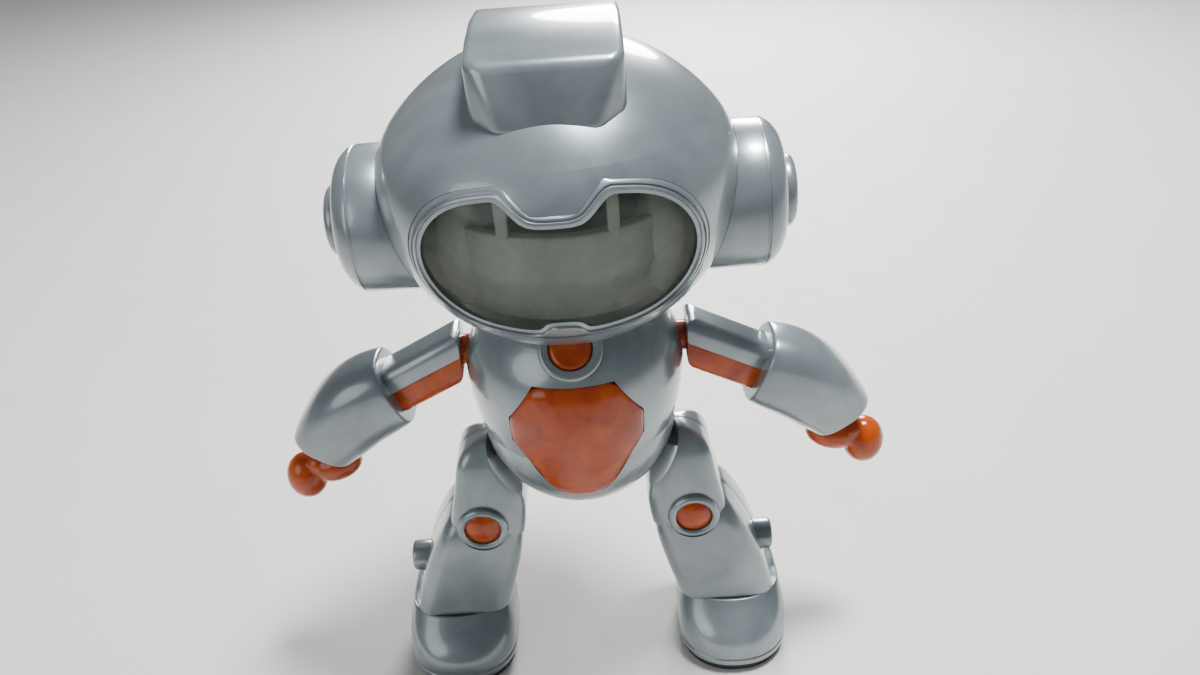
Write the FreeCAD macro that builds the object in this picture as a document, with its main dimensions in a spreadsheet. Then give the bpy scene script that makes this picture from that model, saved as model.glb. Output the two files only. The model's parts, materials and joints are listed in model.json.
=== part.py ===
import FreeCAD, Part
import math
import os
from types import SimpleNamespace

import Sketcher

# A small standing toy robot, moulded in pearl silver and clear orange plastic.
# Frame: millimetres, +Z up, the robot looks towards -Y, and its left hand is on +X.
# The origin is on the floor, under the middle of the helmet.

TABLE = [
    # clearances shared by every fit
    ("snug", 0.03, "gap round a glued or pressed-in piece"),
    ("running", 0.08, "radial gap round a peg that turns"),
    ("moving_gap", 0.4, "space between pieces that move past each other"),
    ("wall", 1.5, "thickness of the moulded shells"),
    ("overlap", 1.0, "depth that a feature runs into the one it joins"),
    ("beyond", 160.0, "a length greater than the whole toy, for cuts that take all there is"),
    ("small_edge", 0.5, "rounding of the small rings and discs"),
    ("lens_edge", 0.75, "rounding of the small lenses"),
    # helmet: a round dome made of a crown arc, a shoulder arc and a side arc
    ("helmet_height", 35.4, "height of the dome"),
    ("helmet_half_width", 23.5, "largest radius of the dome"),
    ("crown_beyond", 3.5, "how much larger the crown's arc is than the dome's largest radius"),
    ("shoulder_radius", 12.5, "arc between crown and side"),
    ("side_radius", 22.0, "arc that tucks the side in under the chin"),
    ("recess_depth", 2.6, "depth of the recess round the neck"),
    ("recess_radius", 12.5, "radius of the recess round the neck"),
    # window in the front of the helmet, a long oval with a step under the brow
    ("window_above_chin", 14.3, "height of the window's middle above the helmet's underside"),
    ("window_half_width", 16.8, "half the window's width"),
    ("window_half_height", 9.8, "half the window's height"),
    ("window_end_radius", 9.0, "radius of the window's round ends"),
    ("brow_rise", 6.5, "height of the brow step's edge above the window's middle"),
    ("brow_half_low", 3.1, "half width of the brow step at its lower edge"),
    ("brow_half_high", 6.1, "half width of the brow step at its upper edge"),
    ("tab_drop", 7.9, "depth of the lower tab's top below the window's middle"),
    ("tab_half_low", 2.8, "half width of the tab at the rim"),
    ("tab_half_high", 1.8, "half width of the tab at its top"),
    ("bezel_width", 1.1, "width of the rim round the window"),
    ("bezel_proud", 0.3, "how far the rim stands out of the helmet"),
    ("lens_depth", 0.45, "how far the lens sits under the helmet's surface"),
    ("lens_wall", 1.0, "thickness of the window lens"),
    # blank panel behind the lens, with two upright posts
    ("panel_radius", 16.4, "radius of the upright part of the panel"),
    ("panel_foot_radius", 14.8, "radius of the panel where it stands on the floor"),
    ("panel_wall", 1.3, "thickness of the panel"),
    ("panel_bend_drop", 4.1, "depth of the panel's bend below the window's middle"),
    ("panel_rise", 1.8, "height of the panel's top above the window's middle"),
    ("panel_half_width", 13.4, "half the panel's width"),
    ("post_side", 1.5, "side of a square post"),
    ("post_x", 6.6, "distance of a post from the middle"),
    ("post_y", 14.4, "distance of a post in front of the neck"),
    ("post_rise", 12.0, "height of a post's top above the window's middle"),
    # crest block on the crown
    ("crest_half_width", 9.0, "half the crest's width"),
    ("crest_front", 17.4, "reach of the crest's foot to the front"),
    ("crest_front_top", 15.2, "reach of the crest's top to the front"),
    ("crest_back", 10.2, "reach of the crest to the back"),
    ("crest_foot_drop", 9.6, "depth of the crest's foot below the dome's top"),
    ("crest_rise", 1.1, "height of the crest's top edge above the dome's top"),
    ("crest_edge_radius", 2.4, "length of the rounding between face and top"),
    ("crest_edge_arc", 2.65, "radius of that rounding"),
    ("crest_top_radius", 30.0, "arch along the crest's top"),
    ("crest_corner", 3.4, "length of the cut corners in plan"),
    # ear drums and caps
    ("ear_drop", 1.4, "depth of the ears' middle below the window's middle"),
    ("ear_radius", 9.75, "radius of an ear drum"),
    ("ear_root", 6.8, "how far the drum reaches in under the dome's radius"),
    ("ear_reach", 5.2, "distance of the drum's flat face from the dome"),
    ("ear_bevel", 2.2, "length of the drum's rounded edge"),
    ("ear_face_radius", 7.4, "radius of the flat face"),
    ("ear_bevel_radius", 4.5, "arc between rim and face"),
    ("ear_cap_radius", 4.8, "radius of the cap on the ear"),
    ("ear_cap_height", 2.1, "thickness of the cap"),
    ("ear_cap_round", 0.9, "rounding of the cap's edge"),
    # neck
    ("neck_radius", 3.6, "radius of the neck's shaft"),
    ("neck_flange_radius", 5.6, "radius of the neck's three flanges"),
    ("neck_flange", 1.1, "thickness of a neck flange"),
    ("neck_space", 2.0, "space between torso and helmet round the neck"),
    # torso: a ball below, a slightly wider chest above
    ("hip_z", 39.0, "height of the hip pins above the floor"),
    ("ball_rise", 6.3, "height of the belly ball's centre above the hips"),
    ("ball_radius", 14.3, "radius of the belly ball"),
    ("chest_rise", 8.9, "height of the widest part of the chest above the ball's centre"),
    ("chest_radius", 15.6, "largest radius of the chest"),
    ("chest_bulge_radius", 45.0, "arc along the side of the chest"),
    ("torso_rise", 20.1, "height of the torso's top above the ball's centre"),
    ("torso_top_radius", 8.0, "radius of the flat top"),
    ("torso_shoulder_radius", 12.0, "arc between chest and top"),
    # belly lens, a shield in outline, heights from the ball's centre
    ("belly_top_rise", 13.1, "height of the shield's top edge"),
    ("belly_top_half", 5.4, "half the length of its top edge"),
    ("belly_wide_rise", 7.5, "height of its widest point"),
    ("belly_wide_half", 9.1, "half its greatest width"),
    ("belly_side_rise", 3.3, "height where the sides turn in"),
    ("belly_low_half", 4.4, "half width where the round bottom starts"),
    ("belly_low_drop", 4.7, "depth where the round bottom starts"),
    ("belly_end_radius", 5.4, "radius of the round bottom"),
    ("belly_proud", 0.35, "how far the lens stands out of the torso"),
    # chest lamp
    ("lamp_tilt", 44.0, "degrees the lamp looks up"),
    ("lamp_y", 11.6, "distance of the lamp's seat in front of the middle"),
    ("lamp_drop", 3.2, "depth of the lamp's seat below the torso's top"),
    ("lamp_ring_radius", 4.3, "outer radius of the lamp's ring"),
    ("lamp_lens_radius", 2.9, "radius of the lamp's lens"),
    ("lamp_ring_height", 1.2, "height of the ring above its seat"),
    ("lamp_lens_height", 1.3, "height of the lens above its seat"),
    # torso screws
    ("screw_x", 7.6, "distance of a screw from the middle"),
    ("screw_rise", 3.2, "height of the screws above the widest part of the chest"),
    ("screw_radius", 0.85, "radius of a screw's shank"),
    ("screw_head_radius", 1.6, "radius of a screw's head"),
    ("screw_head_y", 8.6, "where a screw's head seats"),
    ("screw_head_height", 1.3, "height of a screw's head"),
    ("screw_length", 14.5, "length of a screw's shank"),
    ("boss_radius", 2.6, "outer radius of a screw boss"),
    # arms
    ("shoulder_rise", 2.1, "height of the shoulder pegs above the widest part of the chest"),
    ("shoulder_peg_radius", 2.2, "radius of a shoulder peg"),
    ("shoulder_flange_radius", 2.9, "radius of the flange that keeps the peg in"),
    ("shoulder_flange_sink", 3.3, "depth of that flange's face under the chest's radius"),
    ("shoulder_flange", 1.1, "thickness of that flange"),
    ("arm_drop", 27.0, "degrees the upper arm hangs below level"),
    ("arm_length", 13.0, "length of the bar between shoulder and cuff"),
    ("arm_half_height", 3.8, "half the height of the bar"),
    ("arm_half_depth", 3.3, "half the depth of the bar"),
    ("arm_split", 0.4, "height of the joint line above the bar's middle"),
    ("rib_above", 0.1, "height of the rib above the shoulder peg's radius"),
    ("cuff_mouth_tilt", 55.0, "degrees the cuff's mouth looks below level"),
    ("cuff_start_tilt", 22.0, "degrees the cuff's start looks below level"),
    ("cuff_bulge_tilt", 27.5, "degrees the cuff's bulge looks below level"),
    ("cuff_bend_tilt", 41.0, "degrees the cuff's bend looks below level"),
    ("cuff_flatness", 0.96, "depth of the cuff over its height"),
    ("round_share", 0.8, "corner of the cuffs and legs over their smaller half width"),
    ("boot_round_share", 0.85, "corner of the boots over their half width"),
    # cuff sections from the elbow: distance out, distance down, half height
    ("cuff_start_out", -1.2, "start of the cuff, outwards"),
    ("cuff_start_down", -0.6, "start of the cuff, downwards"),
    ("cuff_start_half", 5.7, "half height of the start"),
    ("cuff_bulge_out", 3.6, "middle of the bulge, outwards"),
    ("cuff_bulge_down", 1.5, "middle of the bulge, downwards"),
    ("cuff_bulge_half", 6.1, "half height of the bulge"),
    ("cuff_bend_out", 7.8, "middle of the bend, outwards"),
    ("cuff_bend_down", 5.0, "middle of the bend, downwards"),
    ("cuff_bend_half", 5.8, "half height of the bend"),
    ("cuff_mouth_out", 11.3, "middle of the mouth, outwards"),
    ("cuff_mouth_down", 9.2, "middle of the mouth, downwards"),
    ("cuff_mouth_half", 4.9, "half height of the mouth"),
    # hand lobes from the middle of the cuff's mouth
    ("fist_out", -0.7, "inner lobe, outwards"),
    ("fist_down", 4.1, "inner lobe, downwards"),
    ("fist_half_length", 4.1, "half length of the inner lobe"),
    ("fist_half_height", 2.6, "half height of the inner lobe"),
    ("finger_out", 4.2, "outer lobe, outwards"),
    ("finger_down", 6.0, "outer lobe, downwards"),
    ("finger_half_length", 3.1, "half length of the outer lobe"),
    ("finger_half_height", 3.8, "half height of the outer lobe"),
    ("hand_half_depth", 2.9, "half depth of the hand"),
    # hips
    ("hip_swing", 45.0, "degrees a leg swings forward or back"),
    ("hip_pin_radius", 1.9, "radius of a hip pin"),
    ("hip_pin_length", 8.6, "length of a hip pin"),
    ("hip_flange_radius", 2.7, "radius of the flange inside the torso"),
    ("hip_flange", 1.0, "thickness of that flange"),
    ("hip_flange_gap", 0.4, "space between that flange and the wall at its lower edge"),
    # knees and shins
    ("knee_drop", 11.4, "depth of the knee lens below the hips"),
    ("knee_out", 1.9, "distance of the knee lens beyond the ball's radius"),
    ("knee_proud", 0.2, "how far the knee's front stands out of the thigh"),
    ("knee_ring_radius", 3.9, "outer radius of the knee ring"),
    ("knee_lens_radius", 2.8, "radius of the knee lens"),
    ("knee_seat", 1.4, "depth of the knee's socket"),
    ("shin_disc_rise", 3.0, "height of the shin disc above the calf section"),
    ("shin_disc_radius", 2.5, "radius of the shin disc"),
    ("shin_disc_length", 3.0, "length of the shin disc"),
    ("shin_disc_proud", 1.0, "how far the disc stands out of the shin"),
    # boots
    ("boot_out", 7.9, "middle of a boot beyond the ball's radius"),
    ("sole_height", 1.3, "thickness of a sole"),
    ("sole_inset", 0.35, "how far the sole stands in from the boot"),
    ("stem_half", 3.2, "half the side of the boot's plug inside the shin"),
    ("stem_height", 4.0, "height of that plug"),
    ("shin_hem_z", 10.2, "height of the seam between boot and shin"),
    ("shin_calf_rise", 3.8, "height of the calf section above that seam"),
]

# Places worked out from another place: name, base, distance, and 1 for up or out, -1 for down.
PLACES = [
    ("ball_z", "hip_z", "ball_rise", 1),
    ("chest_z", "ball_z", "chest_rise", 1),
    ("torso_top", "ball_z", "torso_rise", 1),
    ("shoulder_z", "chest_z", "shoulder_rise", 1),
    ("screw_z", "chest_z", "screw_rise", 1),
    ("lamp_z", "torso_top", "lamp_drop", -1),
    ("belly_top_z", "ball_z", "belly_top_rise", 1),
    ("belly_wide_z", "ball_z", "belly_wide_rise", 1),
    ("belly_side_z", "ball_z", "belly_side_rise", 1),
    ("belly_low_z", "ball_z", "belly_low_drop", -1),
    ("recess_z", "torso_top", "neck_space", 1),
    ("helmet_floor", "recess_z", "recess_depth", -1),
    ("floor_top", "recess_z", "wall", 1),
    ("helmet_top", "helmet_floor", "helmet_height", 1),
    ("crown_radius", "helmet_half_width", "crown_beyond", 1),
    ("window_z", "helmet_floor", "window_above_chin", 1),
    ("brow_z", "window_z", "brow_rise", 1),
    ("tab_z", "window_z", "tab_drop", -1),
    ("panel_bend_z", "window_z", "panel_bend_drop", -1),
    ("panel_top", "window_z", "panel_rise", 1),
    ("post_top", "window_z", "post_rise", 1),
    ("ear_z", "window_z", "ear_drop", -1),
    ("ear_face_x", "helmet_half_width", "ear_reach", 1),
    ("ear_rim_x", "ear_face_x", "ear_bevel", -1),
    ("shoulder_x", "chest_radius", "moving_gap", 1),
    ("rib_half_depth", "shoulder_peg_radius", "running", 1),
    ("rib_top", "shoulder_peg_radius", "rib_above", 1),
    ("knee_z", "hip_z", "knee_drop", -1),
    ("knee_x", "ball_radius", "knee_out", 1),
    ("boot_x", "ball_radius", "boot_out", 1),
    ("shin_calf_z", "shin_hem_z", "shin_calf_rise", 1),
    ("shin_disc_z", "shin_calf_z", "shin_disc_rise", 1),
]

# Leg sections: name, base of its height, distance below that base (None: the base itself),
# distance of its middle beyond the ball's radius, half width, half depth.
THIGH = [
    ("thigh_top", "hip_z", -2.6, 1.3, 1.5, 2.7),
    ("thigh_crown", "hip_z", -1.1, 1.7, 2.3, 4.3),
    ("thigh_hip", "hip_z", 1.5, 1.7, 3.3, 5.2),
    ("thigh_bulge", "hip_z", 5.0, 0.7, 4.9, 5.9),
    ("thigh_mid", "hip_z", 8.4, 0.6, 5.9, 6.4),
    ("thigh_knee", "hip_z", 13.5, 1.6, 6.0, 6.5),
]
SHIN = [
    ("shin_knee", "knee_z", 0.8, 2.2, 6.0, 6.0),
    ("shin_shoulder", "knee_z", 2.8, 2.7, 6.8, 7.1),
    ("shin_flare", "knee_z", 7.8, 4.4, 7.7, 7.4),
    ("shin_calf", "shin_calf_z", None, 6.2, 7.8, 7.6),
    ("shin_hem", "shin_hem_z", None, 7.2, 7.6, 7.6),
]
# Boot sections: name, base of its height, distance below that base, middle from front to back,
# half width, half length.
BOOT = [
    ("boot_base", "sole_height", None, -2.4, 8.5, 11.2),
    ("boot_toe", "shin_hem_z", 6.6, -2.4, 8.7, 11.4),
    ("boot_instep", "shin_hem_z", 2.8, -1.6, 8.3, 10.2),
    ("boot_collar", "shin_hem_z", None, -0.2, 7.6, 7.9),
]


class Size:
    """A number that keeps the spreadsheet formula it comes from."""

    def __init__(self, number, formula=None):
        self.number = float(number)
        self.formula = formula or "(%.6f)" % self.number

    def join(self, sign, other, number):
        return Size(number, "(%s %s %s)" % (self.formula, sign, as_size(other).formula))

    def __add__(self, other):
        return self.join("+", other, self.number + as_size(other).number)

    def __sub__(self, other):
        return self.join("-", other, self.number - as_size(other).number)

    def __mul__(self, other):
        return self.join("*", other, self.number * as_size(other).number)

    def __truediv__(self, other):
        return self.join("/", other, self.number / as_size(other).number)

    def __neg__(self):
        return self * -1

    __radd__ = __add__
    __rmul__ = __mul__

    def __rsub__(self, other):
        return as_size(other) - self


def as_size(value):
    return value if isinstance(value, Size) else Size(value)


def root(value):
    return Size(math.sqrt(value.number), "sqrt(%s)" % value.formula)


def cosine(degrees):
    return Size(math.cos(math.radians(degrees.number)), "cos(%s)" % degrees.formula)


def sine(degrees):
    return Size(math.sin(math.radians(degrees.number)), "sin(%s)" % degrees.formula)


doc = FreeCAD.newDocument("ToyRobot")
sheet = doc.addObject("Spreadsheet::Sheet", "Sizes")
s = SimpleNamespace()


# An offset of 1 shortens each side of a corner that turns by 45 degrees by this much.
MITRE = math.tan(math.radians(22.5))


def fill_sheet():
    """Write every driving size to the sheet and name it."""
    rows = list(TABLE)
    for name, base, drop, middle, half_width, half_depth in THIGH + SHIN + BOOT:
        if drop is not None:
            rows.append((name + "_drop", drop, "depth of this section below its base"))
        rows += [(name + "_mid", middle, "middle of this section"),
                 (name + "_width", half_width, "half width of this section"),
                 (name + "_depth", half_depth, "half depth of this section")]
    for row, (name, number, note) in enumerate(rows, start=1):
        sheet.set("A%d" % row, name)
        sheet.set("B%d" % row, str(number))
        sheet.set("C%d" % row, note)
        sheet.setAlias("B%d" % row, name)
        setattr(s, name, Size(number, "Sizes." + name))
    for name, base, distance, sense in PLACES:
        setattr(s, name, getattr(s, base) + sense * getattr(s, distance))
    inside, edge = s.ball_radius - s.wall, s.ball_rise + s.hip_flange_radius
    s.hip_pin_start = root(inside * inside - edge * edge) - s.hip_flange_gap - s.hip_flange
    s.hip_pin_end = s.hip_pin_start + s.hip_pin_length
    for name, base, drop, *measures in THIGH + SHIN + BOOT:
        height = getattr(s, base) if drop is None else getattr(s, base) - getattr(s, name + "_drop")
        setattr(s, name + "_z", height)
    elbow_x, elbow_z = arm_point(s.arm_length, 0)
    for name in ("cuff_start", "cuff_bulge", "cuff_bend", "cuff_mouth"):
        setattr(s, name + "_x", elbow_x + getattr(s, name + "_out"))
        setattr(s, name + "_z", elbow_z - getattr(s, name + "_down"))
    for name in ("fist", "finger"):
        setattr(s, name + "_x", s.cuff_mouth_x + getattr(s, name + "_out"))
        setattr(s, name + "_z", s.cuff_mouth_z - getattr(s, name + "_down"))
    doc.recompute()


# ---------------------------------------------------------------- sketch helpers

def new_body(label):
    body = doc.addObject("PartDesign::Body", label)
    body.Label = label
    return body


def bind(item, path, value):
    item.setExpression(path, as_size(value).formula)


def new_sketch(body, role, lift=None, centre=None, tilt=None):
    """Empty sketch on an origin plane, lifted along its normal and tilted about its own x."""
    sketch = body.newObject("Sketcher::SketchObject", body.Name + "_sketch")
    plane = next(item for item in body.Origin.OriginFeatures if item.Role == role)
    sketch.AttachmentSupport = [(plane, "")]
    sketch.MapMode = "FlatFace"
    if tilt is not None:
        spin = FreeCAD.Rotation(FreeCAD.Vector(1, 0, 0), tilt.number)
        sketch.AttachmentOffset = FreeCAD.Placement(FreeCAD.Vector(0, 0, 0), spin)
        bind(sketch, "AttachmentOffset.Rotation.Angle", tilt)
    if lift is not None:
        bind(sketch, "AttachmentOffset.Base.z", lift)
    if centre is not None:
        bind(sketch, "AttachmentOffset.Base.y", centre)
    return sketch


def pin(sketch, geometry, end, x, y):
    """Hold one point of the sketch at a place given by two sizes."""
    for kind, value in (("DistanceX", as_size(x)), ("DistanceY", as_size(y))):
        index = sketch.addConstraint(Sketcher.Constraint(kind, -1, 1, geometry, end, value.number))
        sketch.renameConstraint(index, "%s_%d" % (kind, index))
        bind(sketch, "Constraints.%s_%d" % (kind, index), value)


def hold_radius(sketch, geometry, radius):
    index = sketch.addConstraint(Sketcher.Constraint("Radius", geometry, radius.number))
    sketch.renameConstraint(index, "radius_%d" % index)
    bind(sketch, "Constraints.radius_%d" % index, radius)


def loop(sketch, corners):
    """Closed outline. A corner is (x, y) after a line or (x, y, radius, turn) after an arc,
    where turn is 1 for an arc that bends to the left and -1 for one that bends to the right."""
    ends = []
    for index, corner in enumerate(corners):
        before = corners[index - 1]
        start = FreeCAD.Vector(as_size(before[0]).number, as_size(before[1]).number, 0)
        stop = FreeCAD.Vector(as_size(corner[0]).number, as_size(corner[1]).number, 0)
        if len(corner) == 2:
            edge = sketch.addGeometry(Part.LineSegment(start, stop))
            ends.append((edge, 1, 2))
        else:
            radius, turn = as_size(corner[2]), corner[3]
            chord = stop - start
            reach = math.sqrt(max(radius.number ** 2 - (chord.Length / 2) ** 2, 0))
            normal = FreeCAD.Vector(-chord.y, chord.x, 0).normalize()
            centre = (start + stop) * 0.5 + normal * (reach * turn)
            circle = Part.Circle(centre, FreeCAD.Vector(0, 0, 1), radius.number)
            first, last = (start, stop) if turn > 0 else (stop, start)
            angles = [math.atan2(point.y - centre.y, point.x - centre.x) for point in (first, last)]
            edge = sketch.addGeometry(Part.ArcOfCircle(circle, angles[0], angles[1]))
            hold_radius(sketch, edge, radius)
            ends.append((edge, 1, 2) if turn > 0 else (edge, 2, 1))
    for index, (edge, start, stop) in enumerate(ends):
        next_edge, next_start, next_stop = ends[(index + 1) % len(ends)]
        sketch.addConstraint(Sketcher.Constraint("Coincident", edge, stop, next_edge, next_start))
        pin(sketch, edge, stop, corners[index][0], corners[index][1])
    return sketch


def ring(sketch, x, y, radius):
    """Full circle."""
    radius = as_size(radius)
    centre = FreeCAD.Vector(as_size(x).number, as_size(y).number, 0)
    circle = Part.Circle(centre, FreeCAD.Vector(0, 0, 1), radius.number)
    edge = sketch.addGeometry(circle)
    pin(sketch, edge, 3, x, y)
    hold_radius(sketch, edge, radius)
    return sketch


def frame_loop(sketch):
    """Large square round an outline, so that a cut keeps only what is inside the outline."""
    far = s.beyond
    return loop(sketch, [(-far, -far), (far, -far), (far, far), (-far, far)])


def rounded_box(half_x, half_y, corner, x=0, y=0):
    """Corners of a rectangle with rounded corners."""
    x, y = as_size(x), as_size(y)
    return [(x - half_x + corner, y - half_y), (x + half_x - corner, y - half_y),
            (x + half_x, y - half_y + corner, corner, 1), (x + half_x, y + half_y - corner),
            (x + half_x - corner, y + half_y, corner, 1), (x - half_x + corner, y + half_y),
            (x - half_x, y + half_y - corner, corner, 1), (x - half_x, y - half_y + corner),
            (x - half_x + corner, y - half_y, corner, 1)][1:]


# ---------------------------------------------------------------- feature helpers

def add_feature(body, kind, sketch):
    feature = body.newObject("PartDesign::" + kind, body.Name + "_" + kind)
    feature.Profile = sketch
    body.Tip = feature
    return feature


def volume(body):
    doc.recompute()
    return body.Shape.Volume


def turned(body, sketch, axis="V_Axis", angle=360, reverse=False, kind="Revolution"):
    feature = add_feature(body, kind, sketch)
    feature.ReferenceAxis = (sketch, [axis])
    feature.Angle = angle
    feature.Reversed = reverse
    return feature


def groove(body, sketch, axis="V_Axis"):
    """Turn an outline right round and take it away."""
    before = volume(body)
    turned(body, sketch, axis, kind="Groove")
    must_shrink(body, before)


def pad(body, sketch, length, both=False, reverse=False):
    feature = add_feature(body, "Pad", sketch)
    bind(feature, "Length", length)
    feature.Midplane = both
    feature.Reversed = reverse
    return feature


def cut_through(body, sketch):
    """Cut the outline away on both sides of its plane."""
    before = volume(body)
    feature = add_feature(body, "Pocket", sketch)
    feature.Type = "ThroughAll"
    feature.Midplane = True
    must_shrink(body, before)


def cut_depth(body, sketch, depth, both=False, reverse=False):
    before = volume(body)
    feature = add_feature(body, "Pocket", sketch)
    bind(feature, "Length", depth)
    feature.Midplane = both
    feature.Reversed = reverse
    must_shrink(body, before)


def must_shrink(body, before):
    if volume(body) >= before - 1e-6:
        raise RuntimeError("a cut in %s took nothing away" % body.Label)


def loft(body, sketches, kind="AdditiveLoft"):
    feature = add_feature(body, kind, sketches[0])
    feature.Sections = sketches[1:]
    return feature


def keep_half(body, front):
    """Cut away everything behind, or in front of, the plane y = 0."""
    far = s.beyond
    behind = far if front else -far
    corners = [(-far, 0), (far, 0), (far, behind), (-far, behind)]
    cut_through(body, loop(new_sketch(body, "XY_Plane"), corners))


# ---------------------------------------------------------------- helmet

def helmet_arcs():
    """Centres and blend points of the three arcs that draw the dome."""
    arcs = SimpleNamespace()
    arcs.crown_z = s.helmet_top - s.crown_radius
    arcs.shoulder_x = s.helmet_half_width - s.shoulder_radius
    arcs.reach = s.crown_radius - s.shoulder_radius
    arcs.rise = root(arcs.reach * arcs.reach - arcs.shoulder_x * arcs.shoulder_x)
    arcs.wide_z = arcs.crown_z + arcs.rise
    arcs.side_x = s.helmet_half_width - s.side_radius
    return arcs


def helmet_side(grow, height):
    """Radius of the lower dome, grown by an offset, at a height."""
    arcs = helmet_arcs()
    drop = arcs.wide_z - height
    radius = s.side_radius + grow
    return arcs.side_x + root(radius * radius - drop * drop)


def helmet_down(grow, low):
    """Corners from the crown down to the height low."""
    arcs = helmet_arcs()
    shoulder = s.shoulder_radius + grow
    blend_x = arcs.shoulder_x + shoulder * arcs.shoulder_x / arcs.reach
    blend_z = arcs.wide_z + shoulder * arcs.rise / arcs.reach
    return [(0, s.helmet_top + grow),
            (blend_x, blend_z, s.crown_radius + grow, -1),
            (s.helmet_half_width + grow, arcs.wide_z, shoulder, -1),
            (helmet_side(grow, low), low, s.side_radius + grow, -1)]


def helmet_up(grow, low):
    """The same corners, walked from the height low up to the crown."""
    down = helmet_down(grow, low)
    corners = [down[3][:2]]
    for index in (2, 1, 0):
        corners.append((down[index][0], down[index][1], down[index + 1][2], 1))
    return corners


def window_loop(grow, brow=True, tab=True):
    """Outline of the window, grown by an offset."""
    grow = as_size(grow)
    flat_x = s.window_half_width - s.window_end_radius
    flat_z = s.window_half_height
    ends = s.window_end_radius
    big = (flat_x * flat_x + flat_z * flat_z - ends * ends) / (2 * (flat_z - ends))
    fall = big - flat_z
    turn_x = flat_x + (ends + grow) * flat_x / (big - ends)
    turn_dz = (ends + grow) * fall / (big - ends)
    arc = big + grow
    corners = [(turn_x, s.window_z + turn_dz, ends + grow, 1)]
    if brow:
        high, low = s.brow_half_high - MITRE * grow, s.brow_half_low - MITRE * grow
        high_z = s.window_z - fall + root(arc * arc - high * high)
        corners += [(high, high_z, arc, 1), (low, s.brow_z + grow), (-low, s.brow_z + grow), (-high, high_z)]
    corners += [(-turn_x, s.window_z + turn_dz, arc, 1), (-turn_x, s.window_z - turn_dz, ends + grow, 1)]
    if tab:
        base, tip = s.tab_half_low - MITRE * grow, s.tab_half_high - MITRE * grow
        base_z = s.window_z + fall - root(arc * arc - base * base)
        corners += [(-base, base_z, arc, 1), (-tip, s.tab_z - grow), (tip, s.tab_z - grow), (base, base_z)]
    corners += [(turn_x, s.window_z - turn_dz, arc, 1)]
    return corners


def helmet_shell(label, front):
    """Half of the hollow dome, with its half of the floor round the neck."""
    body = new_body(label)
    hole = s.neck_radius + s.running
    corners = helmet_down(0, s.helmet_floor)
    corners += [(s.recess_radius, s.helmet_floor), (s.recess_radius, s.recess_z), (hole, s.recess_z),
                (hole, s.floor_top)] + helmet_up(-s.wall, s.floor_top)
    turned(body, loop(new_sketch(body, "XZ_Plane"), corners), angle=180, reverse=front)
    if front:
        window = window_loop(s.bezel_width + s.snug, tab=False)
        cut_through(body, loop(new_sketch(body, "XZ_Plane"), window))
    return body


def helmet_layer(label, outer, inner, low):
    """Front half of a thin layer that follows the dome between two offsets."""
    body = new_body(label)
    corners = helmet_down(outer, low) + helmet_up(inner, low)
    turned(body, loop(new_sketch(body, "XZ_Plane"), corners), angle=180, reverse=True)
    return body


def trim_to(body, corners, role="XZ_Plane"):
    sketch = frame_loop(new_sketch(body, role))
    cut_through(body, loop(sketch, corners))


def make_visor():
    below = s.recess_z
    bezel = helmet_layer("visor_bezel", s.bezel_proud, -s.wall, below)
    trim_to(bezel, window_loop(s.bezel_width, tab=False))
    cut_through(bezel, loop(new_sketch(bezel, "XZ_Plane"), window_loop(0)))
    lens = helmet_layer("visor_lens", -s.lens_depth, -(s.lens_depth + s.lens_wall), below)
    trim_to(lens, window_loop(-s.snug))
    return [bezel, lens]


def make_face_panel():
    panel = new_body("face_panel")
    face, back = s.panel_radius, s.panel_radius - s.panel_wall
    corners = [(s.panel_foot_radius, s.floor_top), (face, s.panel_bend_z), (face, s.panel_top),
               (back, s.panel_top), (back, s.panel_bend_z), (s.panel_foot_radius - s.panel_wall, s.floor_top)]
    turned(panel, loop(new_sketch(panel, "XZ_Plane"), corners), angle=180, reverse=True)
    half = s.panel_half_width
    trim_to(panel, [(-half, 0), (half, 0), (half, s.helmet_top), (-half, s.helmet_top)])
    for side in (1, -1):
        sketch = new_sketch(panel, "XY_Plane", lift=s.panel_top - s.post_side)
        centre, reach = side * s.post_x, s.post_side / 2
        loop(sketch, [(centre - reach, -s.post_y - reach), (centre + reach, -s.post_y - reach),
                      (centre + reach, -s.post_y + reach), (centre - reach, -s.post_y + reach)])
        pad(panel, sketch, s.post_top - s.panel_top + s.post_side)
    return panel


def make_crest():
    body = new_body("crest_block")
    foot, edge, top = s.helmet_top - s.crest_foot_drop, s.helmet_top, s.helmet_top + s.crest_rise
    side = [(s.crest_back, foot), (s.crest_back, edge),
            (s.crest_back - s.crest_edge_radius, top, s.crest_edge_arc, 1),
            (-s.crest_front_top + s.crest_edge_radius, top, s.crest_top_radius, 1),
            (-s.crest_front_top, edge, s.crest_edge_arc, 1), (-s.crest_front, foot)]
    pad(body, loop(new_sketch(body, "YZ_Plane"), side), s.crest_half_width * 2, both=True)
    half, corner = s.crest_half_width, s.crest_corner
    plan = [(half - corner, -s.crest_front), (half, -s.crest_front + corner),
            (half, s.crest_back - corner), (half - corner, s.crest_back),
            (corner - half, s.crest_back), (-half, s.crest_back - corner),
            (-half, corner - s.crest_front), (corner - half, -s.crest_front)]
    trim_to(body, plan, "XY_Plane")
    groove(body, loop(new_sketch(body, "XZ_Plane"), helmet_solid(s.snug, 0)))
    return body


def helmet_solid(grow, lower):
    """Half outline of the whole dome as if it were solid, lowered by a height."""
    corners = helmet_down(grow, s.helmet_floor)
    corners = [(corner[0], corner[1] - lower) + tuple(corner[2:]) for corner in corners]
    return corners + [(0, s.helmet_floor - lower)]


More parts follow.
